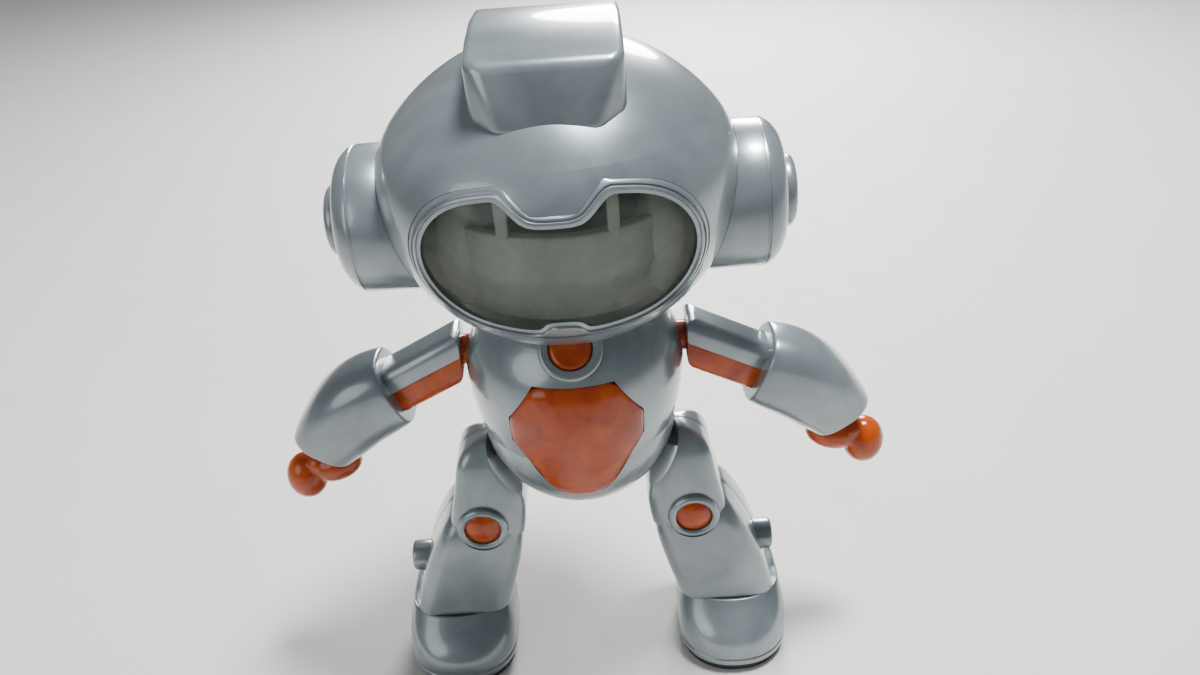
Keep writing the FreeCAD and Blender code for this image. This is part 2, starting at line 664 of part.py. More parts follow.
def make_ear(name, side):
    """Drum that hugs the dome, and its cap, both turned about the ear's own axis."""
    drum = new_body("ear_drum_" + name)
    inner = s.helmet_half_width - s.ear_root
    corners = [(inner, 0), (s.ear_face_x, 0), (s.ear_face_x, s.ear_face_radius),
               (s.ear_rim_x, s.ear_radius, s.ear_bevel_radius, 1), (inner, s.ear_radius)]
    turned(drum, loop(new_sketch(drum, "XZ_Plane"), mirrored(corners, side)), axis="H_Axis")
    groove(drum, loop(new_sketch(drum, "XZ_Plane"), helmet_solid(s.snug, s.ear_z)))
    cap = new_body("ear_cap_" + name)
    start, rim = s.ear_face_x + s.snug, s.ear_face_x + s.ear_cap_height
    corners = [(start, 0), (rim, 0), (rim, s.ear_cap_radius - s.ear_cap_round),
               (rim - s.ear_cap_round, s.ear_cap_radius, s.ear_cap_round, 1), (start, s.ear_cap_radius)]
    turned(cap, loop(new_sketch(cap, "XZ_Plane"), mirrored(corners, side)), axis="H_Axis")
    for body in (drum, cap):
        bind(body, "Placement.Base.z", s.ear_z)
    return [drum, cap]


def mirrored(corners, side):
    """Swap an outline to the other side of the middle when side is -1."""
    if side > 0:
        return corners
    return [(-as_size(corner[0]),) + tuple(corner[1:3]) + ((-corner[3],) if len(corner) > 3 else ())
            for corner in corners]


# ---------------------------------------------------------------- torso

def torso_rise(grow):
    """Corners from the bottom of the belly ball up to the flat top."""
    radius = s.ball_radius + grow
    return [(0, s.ball_z - radius),
            (radius, s.ball_z, radius, 1),
            (s.chest_radius + grow, s.chest_z, s.chest_bulge_radius + grow, 1),
            (s.torso_top_radius + grow / 2, s.torso_top + grow, s.torso_shoulder_radius + grow, 1)]


def torso_fall(grow):
    rise = torso_rise(grow)
    corners = [rise[3][:2]]
    for index in (2, 1, 0):
        corners.append((rise[index][0], rise[index][1], rise[index + 1][2], -1))
    return corners


def belly_loop(grow):
    """Shield outline: straight top, cut corners, sides that turn in, round bottom."""
    grow = as_size(grow)
    return [(s.belly_top_half + grow / 2, s.belly_top_z + grow),
            (-s.belly_top_half - grow / 2, s.belly_top_z + grow),
            (-s.belly_wide_half - grow, s.belly_wide_z),
            (-s.belly_wide_half - grow, s.belly_side_z),
            (-s.belly_low_half - grow, s.belly_low_z),
            (s.belly_low_half + grow, s.belly_low_z, s.belly_end_radius + grow, 1),
            (s.belly_wide_half + grow, s.belly_side_z),
            (s.belly_wide_half + grow, s.belly_wide_z)]


def torso_shell(label, front):
    body = new_body(label)
    under = s.torso_top - s.wall
    hole = s.neck_radius + s.snug
    corners = torso_rise(0) + [(hole, s.torso_top), (hole, under)] + torso_fall(-s.wall)
    turned(body, loop(new_sketch(body, "XZ_Plane"), corners), angle=180, reverse=front)
    add_bosses(body, front)
    for height, radius in ((s.shoulder_z, s.shoulder_peg_radius), (s.hip_z, s.hip_pin_radius)):
        cut_through(body, ring(new_sketch(body, "YZ_Plane"), 0, height, radius + s.running))
    if front:
        cut_through(body, loop(new_sketch(body, "XZ_Plane"), belly_loop(s.snug)))
        seat_lamp(body)
    return body


def add_bosses(body, front):
    """Two screw bosses, trimmed to the torso's outside and drilled."""
    bosses = new_sketch(body, "XZ_Plane")
    for side in (1, -1):
        ring(bosses, side * s.screw_x, s.screw_z, s.boss_radius)
    pad(body, bosses, s.chest_radius, reverse=not front)
    far = s.beyond
    outside = torso_rise(0) + [(0, s.torso_top), (0, far), (far, far), (far, 0), (0, 0)]
    groove(body, loop(new_sketch(body, "XZ_Plane"), outside))
    drill = new_sketch(body, "XZ_Plane")
    for side in (1, -1):
        ring(drill, side * s.screw_x, s.screw_z, s.screw_radius + s.snug)
    if front:
        cut_depth(body, drill, s.screw_length - s.screw_head_y + s.overlap, reverse=True)
        return
    cut_through(body, drill)
    bore = new_sketch(body, "XZ_Plane", lift=-s.screw_head_y + s.snug)
    for side in (1, -1):
        ring(bore, side * s.screw_x, s.screw_z, s.screw_head_radius + s.snug)
    cut_depth(body, bore, s.chest_radius)


def lamp_place(body):
    """Stand a body's own Z axis on the lamp's seat, looking forward and up."""
    tilt = 90 - s.lamp_tilt
    spin = FreeCAD.Rotation(FreeCAD.Vector(1, 0, 0), tilt.number)
    body.Placement = FreeCAD.Placement(FreeCAD.Vector(0, 0, 0), spin)
    bind(body, "Placement.Rotation.Angle", tilt)
    bind(body, "Placement.Base.y", -s.lamp_y)
    bind(body, "Placement.Base.z", s.lamp_z)


def seat_lamp(body):
    """Flat-bottomed round socket for the lamp's ring."""
    before = volume(body)
    tool = body.newObject("PartDesign::SubtractiveCylinder", body.Name + "_lamp_seat")
    bind(tool, "Radius", s.lamp_ring_radius + s.snug)
    bind(tool, "Height", s.beyond)
    spin = FreeCAD.Rotation(FreeCAD.Vector(1, 0, 0), (90 - s.lamp_tilt).number)
    tool.AttachmentOffset = FreeCAD.Placement(FreeCAD.Vector(0, 0, 0), spin)
    plane = next(item for item in body.Origin.OriginFeatures if item.Role == "XY_Plane")
    tool.AttachmentSupport = [(plane, "")]
    tool.MapMode = "FlatFace"
    bind(tool, "AttachmentOffset.Rotation.Angle", 90 - s.lamp_tilt)
    bind(tool, "AttachmentOffset.Base.y", -s.lamp_y)
    bind(tool, "AttachmentOffset.Base.z", s.lamp_z)
    body.Tip = tool
    must_shrink(body, before)


def dome(body, inner, outer, height, edge, hollow=False):
    """Round button or ring about the body's own Z axis, with a rounded outer edge."""
    low = as_size(0)
    corners = [(inner, low), (outer, low), (outer, height - edge), (outer - edge, height, edge, 1)]
    if hollow:
        corners += [(inner + edge / 2, height), (inner, height - edge / 2, edge / 2, 1)]
    else:
        corners += [(inner, height)]
    turned(body, loop(new_sketch(body, "XZ_Plane"), corners))


def make_lamp():
    lamp_ring = new_body("chest_lamp_ring")
    hole = s.lamp_lens_radius + s.snug
    dome(lamp_ring, hole, s.lamp_ring_radius, s.lamp_ring_height, s.small_edge, hollow=True)
    lens = new_body("chest_lamp_lens")
    dome(lens, as_size(0), s.lamp_lens_radius, s.lamp_lens_height, s.lens_edge)
    for body in (lamp_ring, lens):
        lamp_place(body)
    return [lamp_ring, lens]


def make_belly_lens():
    body = new_body("belly_lens")
    corners = torso_rise(s.belly_proud) + torso_fall(-s.wall)
    turned(body, loop(new_sketch(body, "XZ_Plane"), corners), angle=180, reverse=True)
    trim_to(body, belly_loop(0))
    return body


def make_neck():
    """Shaft with one flange under the torso's top, one between, and one inside the helmet."""
    body = new_body("neck_post")
    flange, shaft = s.neck_flange_radius, s.neck_radius
    under = s.torso_top - s.wall - s.snug
    between = s.recess_z - s.moving_gap
    inside = s.floor_top + s.moving_gap
    corners = [(0, under - s.neck_flange), (flange, under - s.neck_flange), (flange, under), (shaft, under),
               (shaft, s.torso_top + s.snug), (flange, s.torso_top + s.snug), (flange, between),
               (shaft, between), (shaft, inside), (flange, inside),
               (flange, inside + s.neck_flange), (0, inside + s.neck_flange)]
    turned(body, loop(new_sketch(body, "XZ_Plane"), corners))
    return body


def make_screws():
    """Two identical screws that hold the torso's halves together."""
    screws = []
    for side in (1, -1):
        parts = []
        for radius, length, start in ((s.screw_head_radius, s.screw_head_height, s.screw_head_y),
                                      (s.screw_radius, s.screw_length, s.screw_head_y - s.screw_length)):
            part = doc.addObject("Part::Cylinder", "screw_part")
            spin = FreeCAD.Rotation(FreeCAD.Vector(1, 0, 0), -90)
            part.Placement = FreeCAD.Placement(FreeCAD.Vector(0, 0, 0), spin)
            bind(part, "Radius", radius)
            bind(part, "Height", length)
            bind(part, "Placement.Base.x", side * s.screw_x)
            bind(part, "Placement.Base.y", start)
            bind(part, "Placement.Base.z", s.screw_z)
            parts.append(part)
        screw = doc.addObject("Part::Fuse", "screw")
        screw.Base, screw.Tool = parts
        screws.append(screw)
    group = doc.addObject("Part::Compound", "torso_screws")
    group.Label = "torso_screws"
    group.Links = screws
    return group


# ---------------------------------------------------------------- arms

def arm_point(along, across):
    """Point of the upper arm in the plane x-z: along its axis and square to it."""
    cos, sin = cosine(s.arm_drop), sine(s.arm_drop)
    return (s.shoulder_x + along * cos + across * sin, s.shoulder_z - along * sin + across * cos)


def arm_strip(low, high, end):
    """Slanted strip of the arm, cut upright at the shoulder."""
    cos, sin = cosine(s.arm_drop), sine(s.arm_drop)
    start_low = (s.shoulder_x, s.shoulder_z + as_size(low) / cos)
    start_high = (s.shoulder_x, s.shoulder_z + as_size(high) / cos)
    return [start_low, arm_point(end, low), arm_point(end, high), start_high]


def wrist_strip(grow, reach):
    """Bent rod from the bar, through the cuff, to the hand."""
    half = s.shoulder_peg_radius + grow
    start_x, start_z = arm_point(s.arm_length - s.overlap, 0)
    cos, sin = cosine(s.cuff_mouth_tilt), sine(s.cuff_mouth_tilt)
    end_x, end_z = s.cuff_mouth_x + reach * cos, s.cuff_mouth_z - reach * sin
    bend_x, bend_z = s.cuff_bulge_x + s.wall, s.cuff_bulge_z
    up_cos, up_sin = cosine(s.arm_drop), sine(s.arm_drop)
    return [(start_x - half * up_sin, start_z - half * up_cos), (bend_x - half * up_sin, bend_z - half),
            (end_x - half * sin, end_z - half * cos), (end_x + half * sin, end_z + half * cos),
            (bend_x + half * up_sin, bend_z + half), (start_x + half * up_sin, start_z + half * up_cos)]


def make_arm(name, side):
    core = new_body("arm_core_" + name)
    low, split = -s.arm_half_height, s.arm_split - s.snug
    bar = loop(new_sketch(core, "XZ_Plane"), mirrored(arm_strip(low, split, s.arm_length), side))
    pad(core, bar, s.arm_half_depth * 2, both=True)
    rib = loop(new_sketch(core, "XZ_Plane"), mirrored(arm_strip(0, s.rib_top, s.arm_length), side))
    pad(core, rib, s.rib_half_depth * 2, both=True)
    rod = loop(new_sketch(core, "XZ_Plane"), mirrored(wrist_strip(0, s.fist_half_height), side))
    pad(core, rod, s.shoulder_peg_radius * 2, both=True)
    add_peg(core, side)
    add_hand(core, side)

    cover = new_body("upper_arm_cover_" + name)
    strip = arm_strip(s.arm_split, s.arm_half_height, s.arm_length)
    pad(cover, loop(new_sketch(cover, "XZ_Plane"), mirrored(strip, side)), s.arm_half_depth * 2, both=True)
    back, end, top = -(s.overlap + s.arm_half_height), s.arm_length + s.overlap, s.rib_top + s.snug
    channel = [arm_point(back, -s.overlap), arm_point(end, -s.overlap),
               arm_point(end, top), arm_point(back, top)]
    cut_depth(cover, loop(new_sketch(cover, "XZ_Plane"), mirrored(channel, side)),
              (s.rib_half_depth + s.snug) * 2, both=True)
    return [core, cover, make_cuff(name, side)]


def add_peg(core, side):
    """Shoulder peg and the flange that keeps it inside the torso."""
    face = s.chest_radius - s.shoulder_flange_sink
    start = face - s.shoulder_flange
    for radius, end in ((s.shoulder_peg_radius, s.shoulder_x + s.overlap / 2),
                        (s.shoulder_flange_radius, face)):
        sketch = new_sketch(core, "YZ_Plane", lift=side * start)
        ring(sketch, 0, s.shoulder_z, radius)
        pad(core, sketch, end - start, reverse=side < 0)


def add_hand(core, side):
    """The two rounded lobes of the hand."""
    lobes = (("fist", s.fist_x, s.fist_z, s.fist_half_length, s.fist_half_height),
             ("finger", s.finger_x, s.finger_z, s.finger_half_length, s.finger_half_height))
    for name, x, z, half_length, half_height in lobes:
        lobe = core.newObject("PartDesign::AdditiveEllipsoid", core.Name + "_" + name)
        bind(lobe, "Radius1", half_height)
        bind(lobe, "Radius2", half_length)
        bind(lobe, "Radius3", s.hand_half_depth)
        plane = next(item for item in core.Origin.OriginFeatures if item.Role == "XY_Plane")
        lobe.AttachmentSupport = [(plane, "")]
        lobe.MapMode = "FlatFace"
        bind(lobe, "AttachmentOffset.Base.x", side * x)
        bind(lobe, "AttachmentOffset.Base.z", z)
        core.Tip = lobe


def cuff_sections(body, side, grow, first):
    stations = [
        (s.cuff_start_x, s.cuff_start_z, s.cuff_start_tilt, s.cuff_start_half),
        (s.cuff_bulge_x, s.cuff_bulge_z, s.cuff_bulge_tilt, s.cuff_bulge_half),
        (s.cuff_bend_x, s.cuff_bend_z, s.cuff_bend_tilt, s.cuff_bend_half),
        (s.cuff_mouth_x, s.cuff_mouth_z, s.cuff_mouth_tilt, s.cuff_mouth_half),
    ]
    sketches = []
    for x, z, tilt, half in stations[first:]:
        sketch = new_sketch(body, "YZ_Plane", lift=side * x, centre=z, tilt=side * tilt)
        half = half + grow
        sketches.append(loop(sketch, rounded_box(half * s.cuff_flatness, half, half * s.round_share)))
    return sketches


def make_cuff(name, side):
    """Hollow sleeve, open downwards, with a socket for the bar and a slot for the wrist."""
    cuff = new_body("forearm_cuff_" + name)
    loft(cuff, cuff_sections(cuff, side, as_size(0), 0))
    before = volume(cuff)
    loft(cuff, cuff_sections(cuff, side, -s.wall, 2), kind="SubtractiveLoft")
    must_shrink(cuff, before)
    socket = arm_strip(-s.arm_half_height - s.snug, s.arm_half_height + s.snug, s.arm_length + s.snug)
    cut_depth(cuff, loop(new_sketch(cuff, "XZ_Plane"), mirrored(socket, side)),
              (s.arm_half_depth + s.snug) * 2, both=True)
    slot = loop(new_sketch(cuff, "XZ_Plane"), mirrored(wrist_strip(s.snug, s.fist_half_height), side))
    cut_depth(cuff, slot, (s.shoulder_peg_radius + s.snug) * 2, both=True)
    return cuff


# ---------------------------------------------------------------- legs

def leg_sections(body, side, names, grow):
    sketches = []
    for name in names:
        height = getattr(s, name + "_z")
        half_x = getattr(s, name + "_width") + grow
        half_y = getattr(s, name + "_depth") + grow
        corner = (half_x if half_x.number < half_y.number else half_y) * s.round_share
        sketch = new_sketch(body, "XY_Plane", lift=height)
        middle = side * (s.ball_radius + getattr(s, name + "_mid"))
        sketches.append(loop(sketch, rounded_box(half_x, half_y, corner, x=middle)))
    return sketches


def stem_square(side, half):
    """Square plug in the middle of the shin's hem."""
    middle = side * (s.ball_radius + s.shin_hem_mid)
    return [(middle - half, -half), (middle + half, -half), (middle + half, half), (middle - half, half)]


def clear_swing(body):
    """Hollow the leg's inner side so that it passes the belly ball over its whole swing."""
    plane = next(item for item in body.Origin.OriginFeatures if item.Role == "XY_Plane")
    for share in (-1, -0.5, 0, 0.5, 1):
        lean = s.hip_swing * share
        ball = body.newObject("PartDesign::SubtractiveSphere", body.Name + "_swing_clearance")
        bind(ball, "Radius", s.ball_radius + s.moving_gap)
        ball.AttachmentSupport = [(plane, "")]
        ball.MapMode = "FlatFace"
        bind(ball, "AttachmentOffset.Base.y", s.ball_rise * sine(lean))
        bind(ball, "AttachmentOffset.Base.z", s.hip_z + s.ball_rise * cosine(lean))
        body.Tip = ball


def leg_shell(label, side, front):
    """Half of a leg: thigh and flared shin in one moulding, split along the plane y = 0."""
    body = new_body(label)
    loft(body, leg_sections(body, side, [row[0] for row in THIGH], as_size(0)))
    loft(body, leg_sections(body, side, [row[0] for row in SHIN], as_size(0)))
    keep_half(body, front)
    clear_swing(body)
    plug = new_sketch(body, "XY_Plane", lift=s.shin_hem_z)
    loop(plug, stem_square(side, s.stem_half + s.snug))
    cut_depth(body, plug, s.stem_height + s.snug, reverse=True)
    pin_hole = new_sketch(body, "YZ_Plane", lift=side * (s.hip_pin_end + s.snug))
    cut_depth(body, ring(pin_hole, 0, s.hip_z, s.hip_pin_radius + s.snug), s.hip_pin_end, reverse=side < 0)
    disc_hole = new_sketch(body, "YZ_Plane", lift=side * (shin_disc_face() - s.shin_disc_length - s.snug))
    cut_depth(body, ring(disc_hole, 0, s.shin_disc_z, s.shin_disc_radius + s.snug), s.hip_pin_end,
              reverse=side > 0)
    if front:
        seat = new_sketch(body, "XZ_Plane", lift=knee_front() - s.knee_seat)
        ring(seat, side * s.knee_x, s.knee_z, s.knee_ring_radius + s.snug)
        cut_depth(body, seat, knee_front(), reverse=True)
    return body


def knee_front():
    return s.thigh_knee_depth + s.knee_proud


def shin_disc_face():
    return s.ball_radius + s.shin_calf_mid + s.shin_calf_width + s.shin_disc_proud


def make_knee(name, side):
    knee_ring = new_body("knee_ring_" + name)
    dome(knee_ring, s.knee_lens_radius + s.snug, s.knee_ring_radius, s.knee_seat + s.small_edge, s.small_edge,
         hollow=True)
    lens = new_body("knee_lens_" + name)
    dome(lens, as_size(0), s.knee_lens_radius, s.knee_seat + s.lens_edge, s.lens_edge)
    for body in (knee_ring, lens):
        spin = FreeCAD.Rotation(FreeCAD.Vector(1, 0, 0), 90)
        body.Placement = FreeCAD.Placement(FreeCAD.Vector(0, 0, 0), spin)
        bind(body, "Placement.Base.x", side * s.knee_x)
        bind(body, "Placement.Base.y", s.knee_seat - knee_front() - s.snug)
        bind(body, "Placement.Base.z", s.knee_z)
    return [knee_ring, lens]


def make_hip_pin(name, side):
    body = new_body("hip_pin_" + name)
    for radius, length in ((s.hip_pin_radius, s.hip_pin_length), (s.hip_flange_radius, s.hip_flange)):
        sketch = new_sketch(body, "YZ_Plane", lift=side * s.hip_pin_start)
        pad(body, ring(sketch, 0, s.hip_z, radius), length, reverse=side < 0)
    return body


def make_shin_disc(name, side):
    body = new_body("shin_disc_" + name)
    rim, edge = s.shin_disc_radius, s.small_edge
    face, seat = shin_disc_face(), shin_disc_face() - s.shin_disc_length
    corners = [(seat, 0), (face, 0), (face, rim - edge), (face - edge, rim, edge, 1), (seat, rim)]
    turned(body, loop(new_sketch(body, "XZ_Plane"), mirrored(corners, side)), axis="H_Axis")
    bind(body, "Placement.Base.z", s.shin_disc_z)
    return body


def make_boot(name, side):
    """Rounded boot with a plug that fits inside the shin, and its separate sole."""
    boot = new_body("boot_" + name)
    sketches = []
    for row in BOOT:
        half_x = getattr(s, row[0] + "_width")
        half_y = getattr(s, row[0] + "_depth")
        sketch = new_sketch(boot, "XY_Plane", lift=getattr(s, row[0] + "_z"))
        middle_y = getattr(s, row[0] + "_mid")
        box = rounded_box(half_x, half_y, half_x * s.boot_round_share, x=side * s.boot_x, y=middle_y)
        sketches.append(loop(sketch, box))
    loft(boot, sketches)
    plug = new_sketch(boot, "XY_Plane", lift=s.shin_hem_z - s.wall)
    pad(boot, loop(plug, stem_square(side, s.stem_half)), s.stem_height + s.wall)
    sole = new_body("boot_sole_" + name)
    half_x, half_y = s.boot_base_width - s.sole_inset, s.boot_base_depth - s.sole_inset
    box = rounded_box(half_x, half_y, half_x * s.boot_round_share, x=side * s.boot_x, y=s.boot_base_mid)
    pad(sole, loop(new_sketch(sole, "XY_Plane"), box), s.sole_height)
    return [boot, sole]


# ---------------------------------------------------------------- build and write

def build():
    parts = [helmet_shell("helmet_front_shell", True), helmet_shell("helmet_rear_shell", False)]
    parts += make_visor() + [make_face_panel(), make_crest()]
    parts += [torso_shell("torso_front_shell", True), torso_shell("torso_rear_shell", False)]
    parts += [make_belly_lens()] + make_lamp() + [make_neck(), make_screws()]
    for name, side in (("left", 1), ("right", -1)):
        parts += make_ear(name, side) + make_arm(name, side)
        parts.append(leg_shell("leg_front_shell_" + name, side, True))
        parts.append(leg_shell("leg_rear_shell_" + name, side, False))
        parts += make_knee(name, side) + [make_hip_pin(name, side), make_shin_disc(name, side)]
        parts += make_boot(name, side)
    return parts


def check(parts):
    """Stop if any object failed or any part has no sound solid."""
    doc.recompute()
    for item in doc.Objects:
        if "Invalid" in item.State or "Error" in item.State:
            raise RuntimeError("%s failed: %s" % (item.Name, item.State))
    for part in parts:
        if part.Shape.isNull() or not part.Shape.isValid() or not part.Shape.Solids:
            raise RuntimeError("%s has no sound solid" % part.Label)


def write(parts):
    os.makedirs("parts", exist_ok=True)
    for part in parts:
        part.Shape.exportStep("parts/%s.step" % part.Label)
        box = part.Shape.BoundBox
        print("%-24s %2d solid %9.2f mm3  z %6.2f to %6.2f" % (
            part.Label, len(part.Shape.Solids), part.Shape.Volume, box.ZMin, box.ZMax))


fill_sheet()
robot = build()
check(robot)
write(robot)
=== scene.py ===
import json
import math

import bpy
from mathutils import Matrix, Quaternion, Vector


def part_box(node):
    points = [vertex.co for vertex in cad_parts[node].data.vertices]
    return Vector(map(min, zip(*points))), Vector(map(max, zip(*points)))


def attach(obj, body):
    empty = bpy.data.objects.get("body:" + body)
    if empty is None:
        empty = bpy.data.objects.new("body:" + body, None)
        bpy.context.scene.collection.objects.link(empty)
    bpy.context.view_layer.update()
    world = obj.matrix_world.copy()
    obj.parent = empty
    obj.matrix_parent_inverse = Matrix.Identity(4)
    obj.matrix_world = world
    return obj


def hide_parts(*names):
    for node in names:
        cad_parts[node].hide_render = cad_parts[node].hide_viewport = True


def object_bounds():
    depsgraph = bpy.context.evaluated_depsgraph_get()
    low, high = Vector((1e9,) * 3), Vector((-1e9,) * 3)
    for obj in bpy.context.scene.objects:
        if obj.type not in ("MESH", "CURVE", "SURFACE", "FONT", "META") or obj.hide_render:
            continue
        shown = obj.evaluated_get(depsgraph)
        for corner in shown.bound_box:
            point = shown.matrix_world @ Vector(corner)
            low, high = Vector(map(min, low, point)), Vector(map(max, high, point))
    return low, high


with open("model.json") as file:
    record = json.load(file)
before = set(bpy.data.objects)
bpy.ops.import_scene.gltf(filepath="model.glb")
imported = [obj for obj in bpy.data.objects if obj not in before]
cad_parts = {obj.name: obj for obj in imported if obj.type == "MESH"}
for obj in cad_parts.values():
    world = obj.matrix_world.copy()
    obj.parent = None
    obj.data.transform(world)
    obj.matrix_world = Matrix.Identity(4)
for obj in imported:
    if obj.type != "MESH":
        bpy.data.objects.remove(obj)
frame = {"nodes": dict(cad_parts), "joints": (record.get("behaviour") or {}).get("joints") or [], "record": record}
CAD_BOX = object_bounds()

bl_info = {
    "name": "Toy Robot",
    "version": (1, 0, 0),
    "blender": (4, 5, 0),
    "location": "3D View > Sidebar > Toy Robot",
    "description": "Models the mouldings, lenses and stage of a small toy robot around its CAD frame",
    "category": "Object",
}

# ---- places read from the frame

DOME_LOW, DOME_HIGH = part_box("helmet_rear_shell")
PANEL_LOW, PANEL_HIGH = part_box("face_panel")
EAR_LOW, EAR_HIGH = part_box("ear_drum_left")
CAP_LOW, CAP_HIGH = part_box("ear_cap_left")
CREST_LOW, CREST_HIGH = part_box("crest_block")
TORSO_LOW, TORSO_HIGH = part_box("torso_rear_shell")
BELLY_LOW, BELLY_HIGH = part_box("belly_lens")
COVER_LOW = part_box("upper_arm_cover_left")[0]
CORE_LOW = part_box("arm_core_left")[0]
KNEE_LOW, KNEE_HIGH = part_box("knee_ring_left")
KNEE_LENS_LOW, KNEE_LENS_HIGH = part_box("knee_lens_left")
DISC_LOW, DISC_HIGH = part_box("shin_disc_left")
LEG_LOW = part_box("leg_rear_shell_left")[0]
BOOT_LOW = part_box("boot_left")[0]
SOLE_LOW, SOLE_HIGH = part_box("boot_sole_left")
SHOULDER_Z, HIP_Z = (next(joint for joint in frame["joints"] if joint["name"] == name)["pos_m"][2]
                     for name in ("shoulder_left", "hip_left"))

ALONG_X, ALONG_Y, ALONG_Z = Vector((1, 0, 0)), Vector((0, 1, 0)), Vector((0, 0, 1))
# In mm: points nearer than this are one, in an outline and in a finished mesh.
OUTLINE_WELD, MESH_WELD = 0.001, 0.002


def mm(value):
    return value * 0.001


def length(name, size, description):
    """A size in millimetres that a user may change."""
    return bpy.props.FloatProperty(name=name, description=description + ", mm", default=size, min=0.0,
                                   precision=2)


def colour(name, code, description):
    return bpy.props.StringProperty(name=name, description=description, default=code, maxlen=7)


class RobotSizes(bpy.types.PropertyGroup):
    crown: length("Crown radius", 27.0, "Arc over the crown of the dome")
    shoulder: length("Shoulder radius", 12.5, "Arc between crown and side of the dome")
    side: length("Side radius", 22.0, "Arc that tucks the dome in under the chin")
    seam: length("Seam rounding", 0.14, "Rounded edge where two halves meet")
    window_rise: length("Window rise", 14.3, "Height of the window's middle above the chin")
    window_half_width: length("Window half width", 16.8, "Half the window's width")
    window_half_height: length("Window half height", 9.8, "Half the window's height")
    window_end: length("Window end radius", 9.0, "Radius of the window's round ends")
    brow_rise: length("Brow rise", 6.5, "Height of the brow step above the window's middle")
    brow_low: length("Brow lower half width", 3.1, "Half width of the brow step at its edge")
    brow_high: length("Brow upper half width", 6.1, "Half width of the brow step at the rim")
    tab_drop: length("Tab drop", 7.9, "Depth of the tab's top below the window's middle")
    tab_low: length("Tab lower half width", 2.8, "Half width of the tab at the rim")
    tab_high: length("Tab upper half width", 1.8, "Half width of the tab at its top")
    rim: length("Window rim", 1.1, "Width of the rim round the window")
    panel_radius: length("Panel radius", 16.4, "Radius of the upright part of the panel")
    panel_foot: length("Panel foot", 14.8, "Radius of the panel where it stands on the floor")
    panel_wall: length("Panel wall", 1.3, "Thickness of the panel")
    panel_bend: length("Panel bend", 4.1, "Depth of the bend below the window's middle")
    panel_rise: length("Panel rise", 1.8, "Height of the panel's top above the window's middle")
    panel_half: length("Panel half width", 13.4, "Half the panel's width")
    post_x: length("Post distance", 6.6, "Distance of a post from the middle")
    crest_corner: length("Crest corner", 3.4, "Length of the crest's cut corners")
    crest_arch: length("Crest arch", 37.0, "Arc along the crest's top")
    ball_radius: length("Belly ball", 14.3, "Radius of the belly ball")
    ball_bottom: length("Ball centre", 14.3, "Height of the ball's centre above its bottom")
    chest_rise: length("Chest rise", 8.9, "Height of the widest chest above the ball's centre")
    chest_bulge: length("Chest bulge", 45.0, "Arc along the side of the chest")
    torso_top: length("Torso top radius", 8.0, "Radius of the flat top of the torso")
    torso_shoulder: length("Torso shoulder", 12.0, "Arc between chest and flat top")
    belly_top: length("Belly lens top", 5.4, "Half the length of the shield's top edge")
    belly_wide: length("Belly lens shoulder", 14.4, "Height of the shield's shoulders above its foot")
    belly_side: length("Belly lens side", 10.2, "Height where the shield's sides turn in")
    belly_low: length("Belly lens foot", 4.4, "Half width where the round foot starts")
    arm_drop: bpy.props.FloatProperty(name="Arm drop", description="Slope of the upper arm",
                                      default=math.radians(27), subtype="ANGLE")
    arm_length: length("Arm length", 13.0, "Length of the bar between shoulder and cuff")
    arm_half: length("Arm half height", 3.8, "Half the height of the bar")
    arm_split: length("Arm split", 0.4, "Height of the joint line above the bar's middle")
    arm_round: length("Arm rounding", 1.8, "Rounding along the bar's top and bottom")
    peg: length("Shoulder peg", 2.2, "Radius of the shoulder peg")
    hip_swing: bpy.props.FloatProperty(name="Hip swing", description="Most that a leg swings each way",
                                       default=math.radians(45), subtype="ANGLE")
    moving_gap: length("Moving gap", 0.4, "Space between pieces that move past each other")
    boot_corner: length("Boot corner", 7.2, "Rounding of the boot seen from above")


class RobotColours(bpy.types.PropertyGroup):
    pearl: colour("Pearl", "#6c777c", "Body colour of the silver mouldings")
    pearl_light: colour("Pearl flow", "#929da1", "Lighter streaks where the pearl pigment flowed")
    amber: colour("Amber", "#963204", "Burnt orange of the see-through mouldings")
    amber_light: colour("Amber light", "#c4540c", "Orange where the see-through plastic is thin")
    smoke: colour("Smoke", "#5f665c", "Tint of the window lens")
    panel: colour("Panel", "#b2bab0", "Grey-green of the panel behind the lens")
    acetal_and_sole_shade: colour("Acetal", "#2a2b2d", "Dark pins and soles")
    # Pins and soles share this dark colour; on the pins it is their own colour, on the soles it is painted shade
    # along the underside of the boots.
    zinc: colour("Zinc", "#a9adb0", "Zinc plating of the screws")
    floor: colour("Floor", "#d0cecb", "Plain floor")


def sizes():
    return bpy.context.scene.robot_sizes


# ---- modelling helpers

def begin():
    """Leave edit mode and deselect everything."""
    if bpy.context.object and bpy.context.object.mode != "OBJECT":
        bpy.ops.object.mode_set(mode="OBJECT")
    bpy.ops.object.select_all(action="DESELECT")


def choose(piece):
    """Select one piece and make it active."""
    begin()
    piece.select_set(True)
    bpy.context.view_layer.objects.active = piece


def enter(piece):
    choose(piece)
    bpy.ops.object.mode_set(mode="EDIT")
    bpy.ops.mesh.select_all(action="SELECT")


def turn(angle, axis, centre=(0, 0, 0)):
    """Turn what is selected by the right-hand rule. The operator counts the other way round."""
    bpy.ops.transform.rotate(value=-angle, orient_axis=axis, center_override=centre)


def call(piece, name):
    piece.name = name
    piece.data.name = name


def pen(name, start):
    """New piece that holds one selected point, ready to be drawn out."""
    begin()
    bpy.ops.mesh.primitive_plane_add(size=mm(1))
    piece = bpy.context.object
    call(piece, name)
    enter(piece)
    bpy.ops.mesh.merge(type="CENTER")
    bpy.ops.transform.translate(value=start)
    return piece


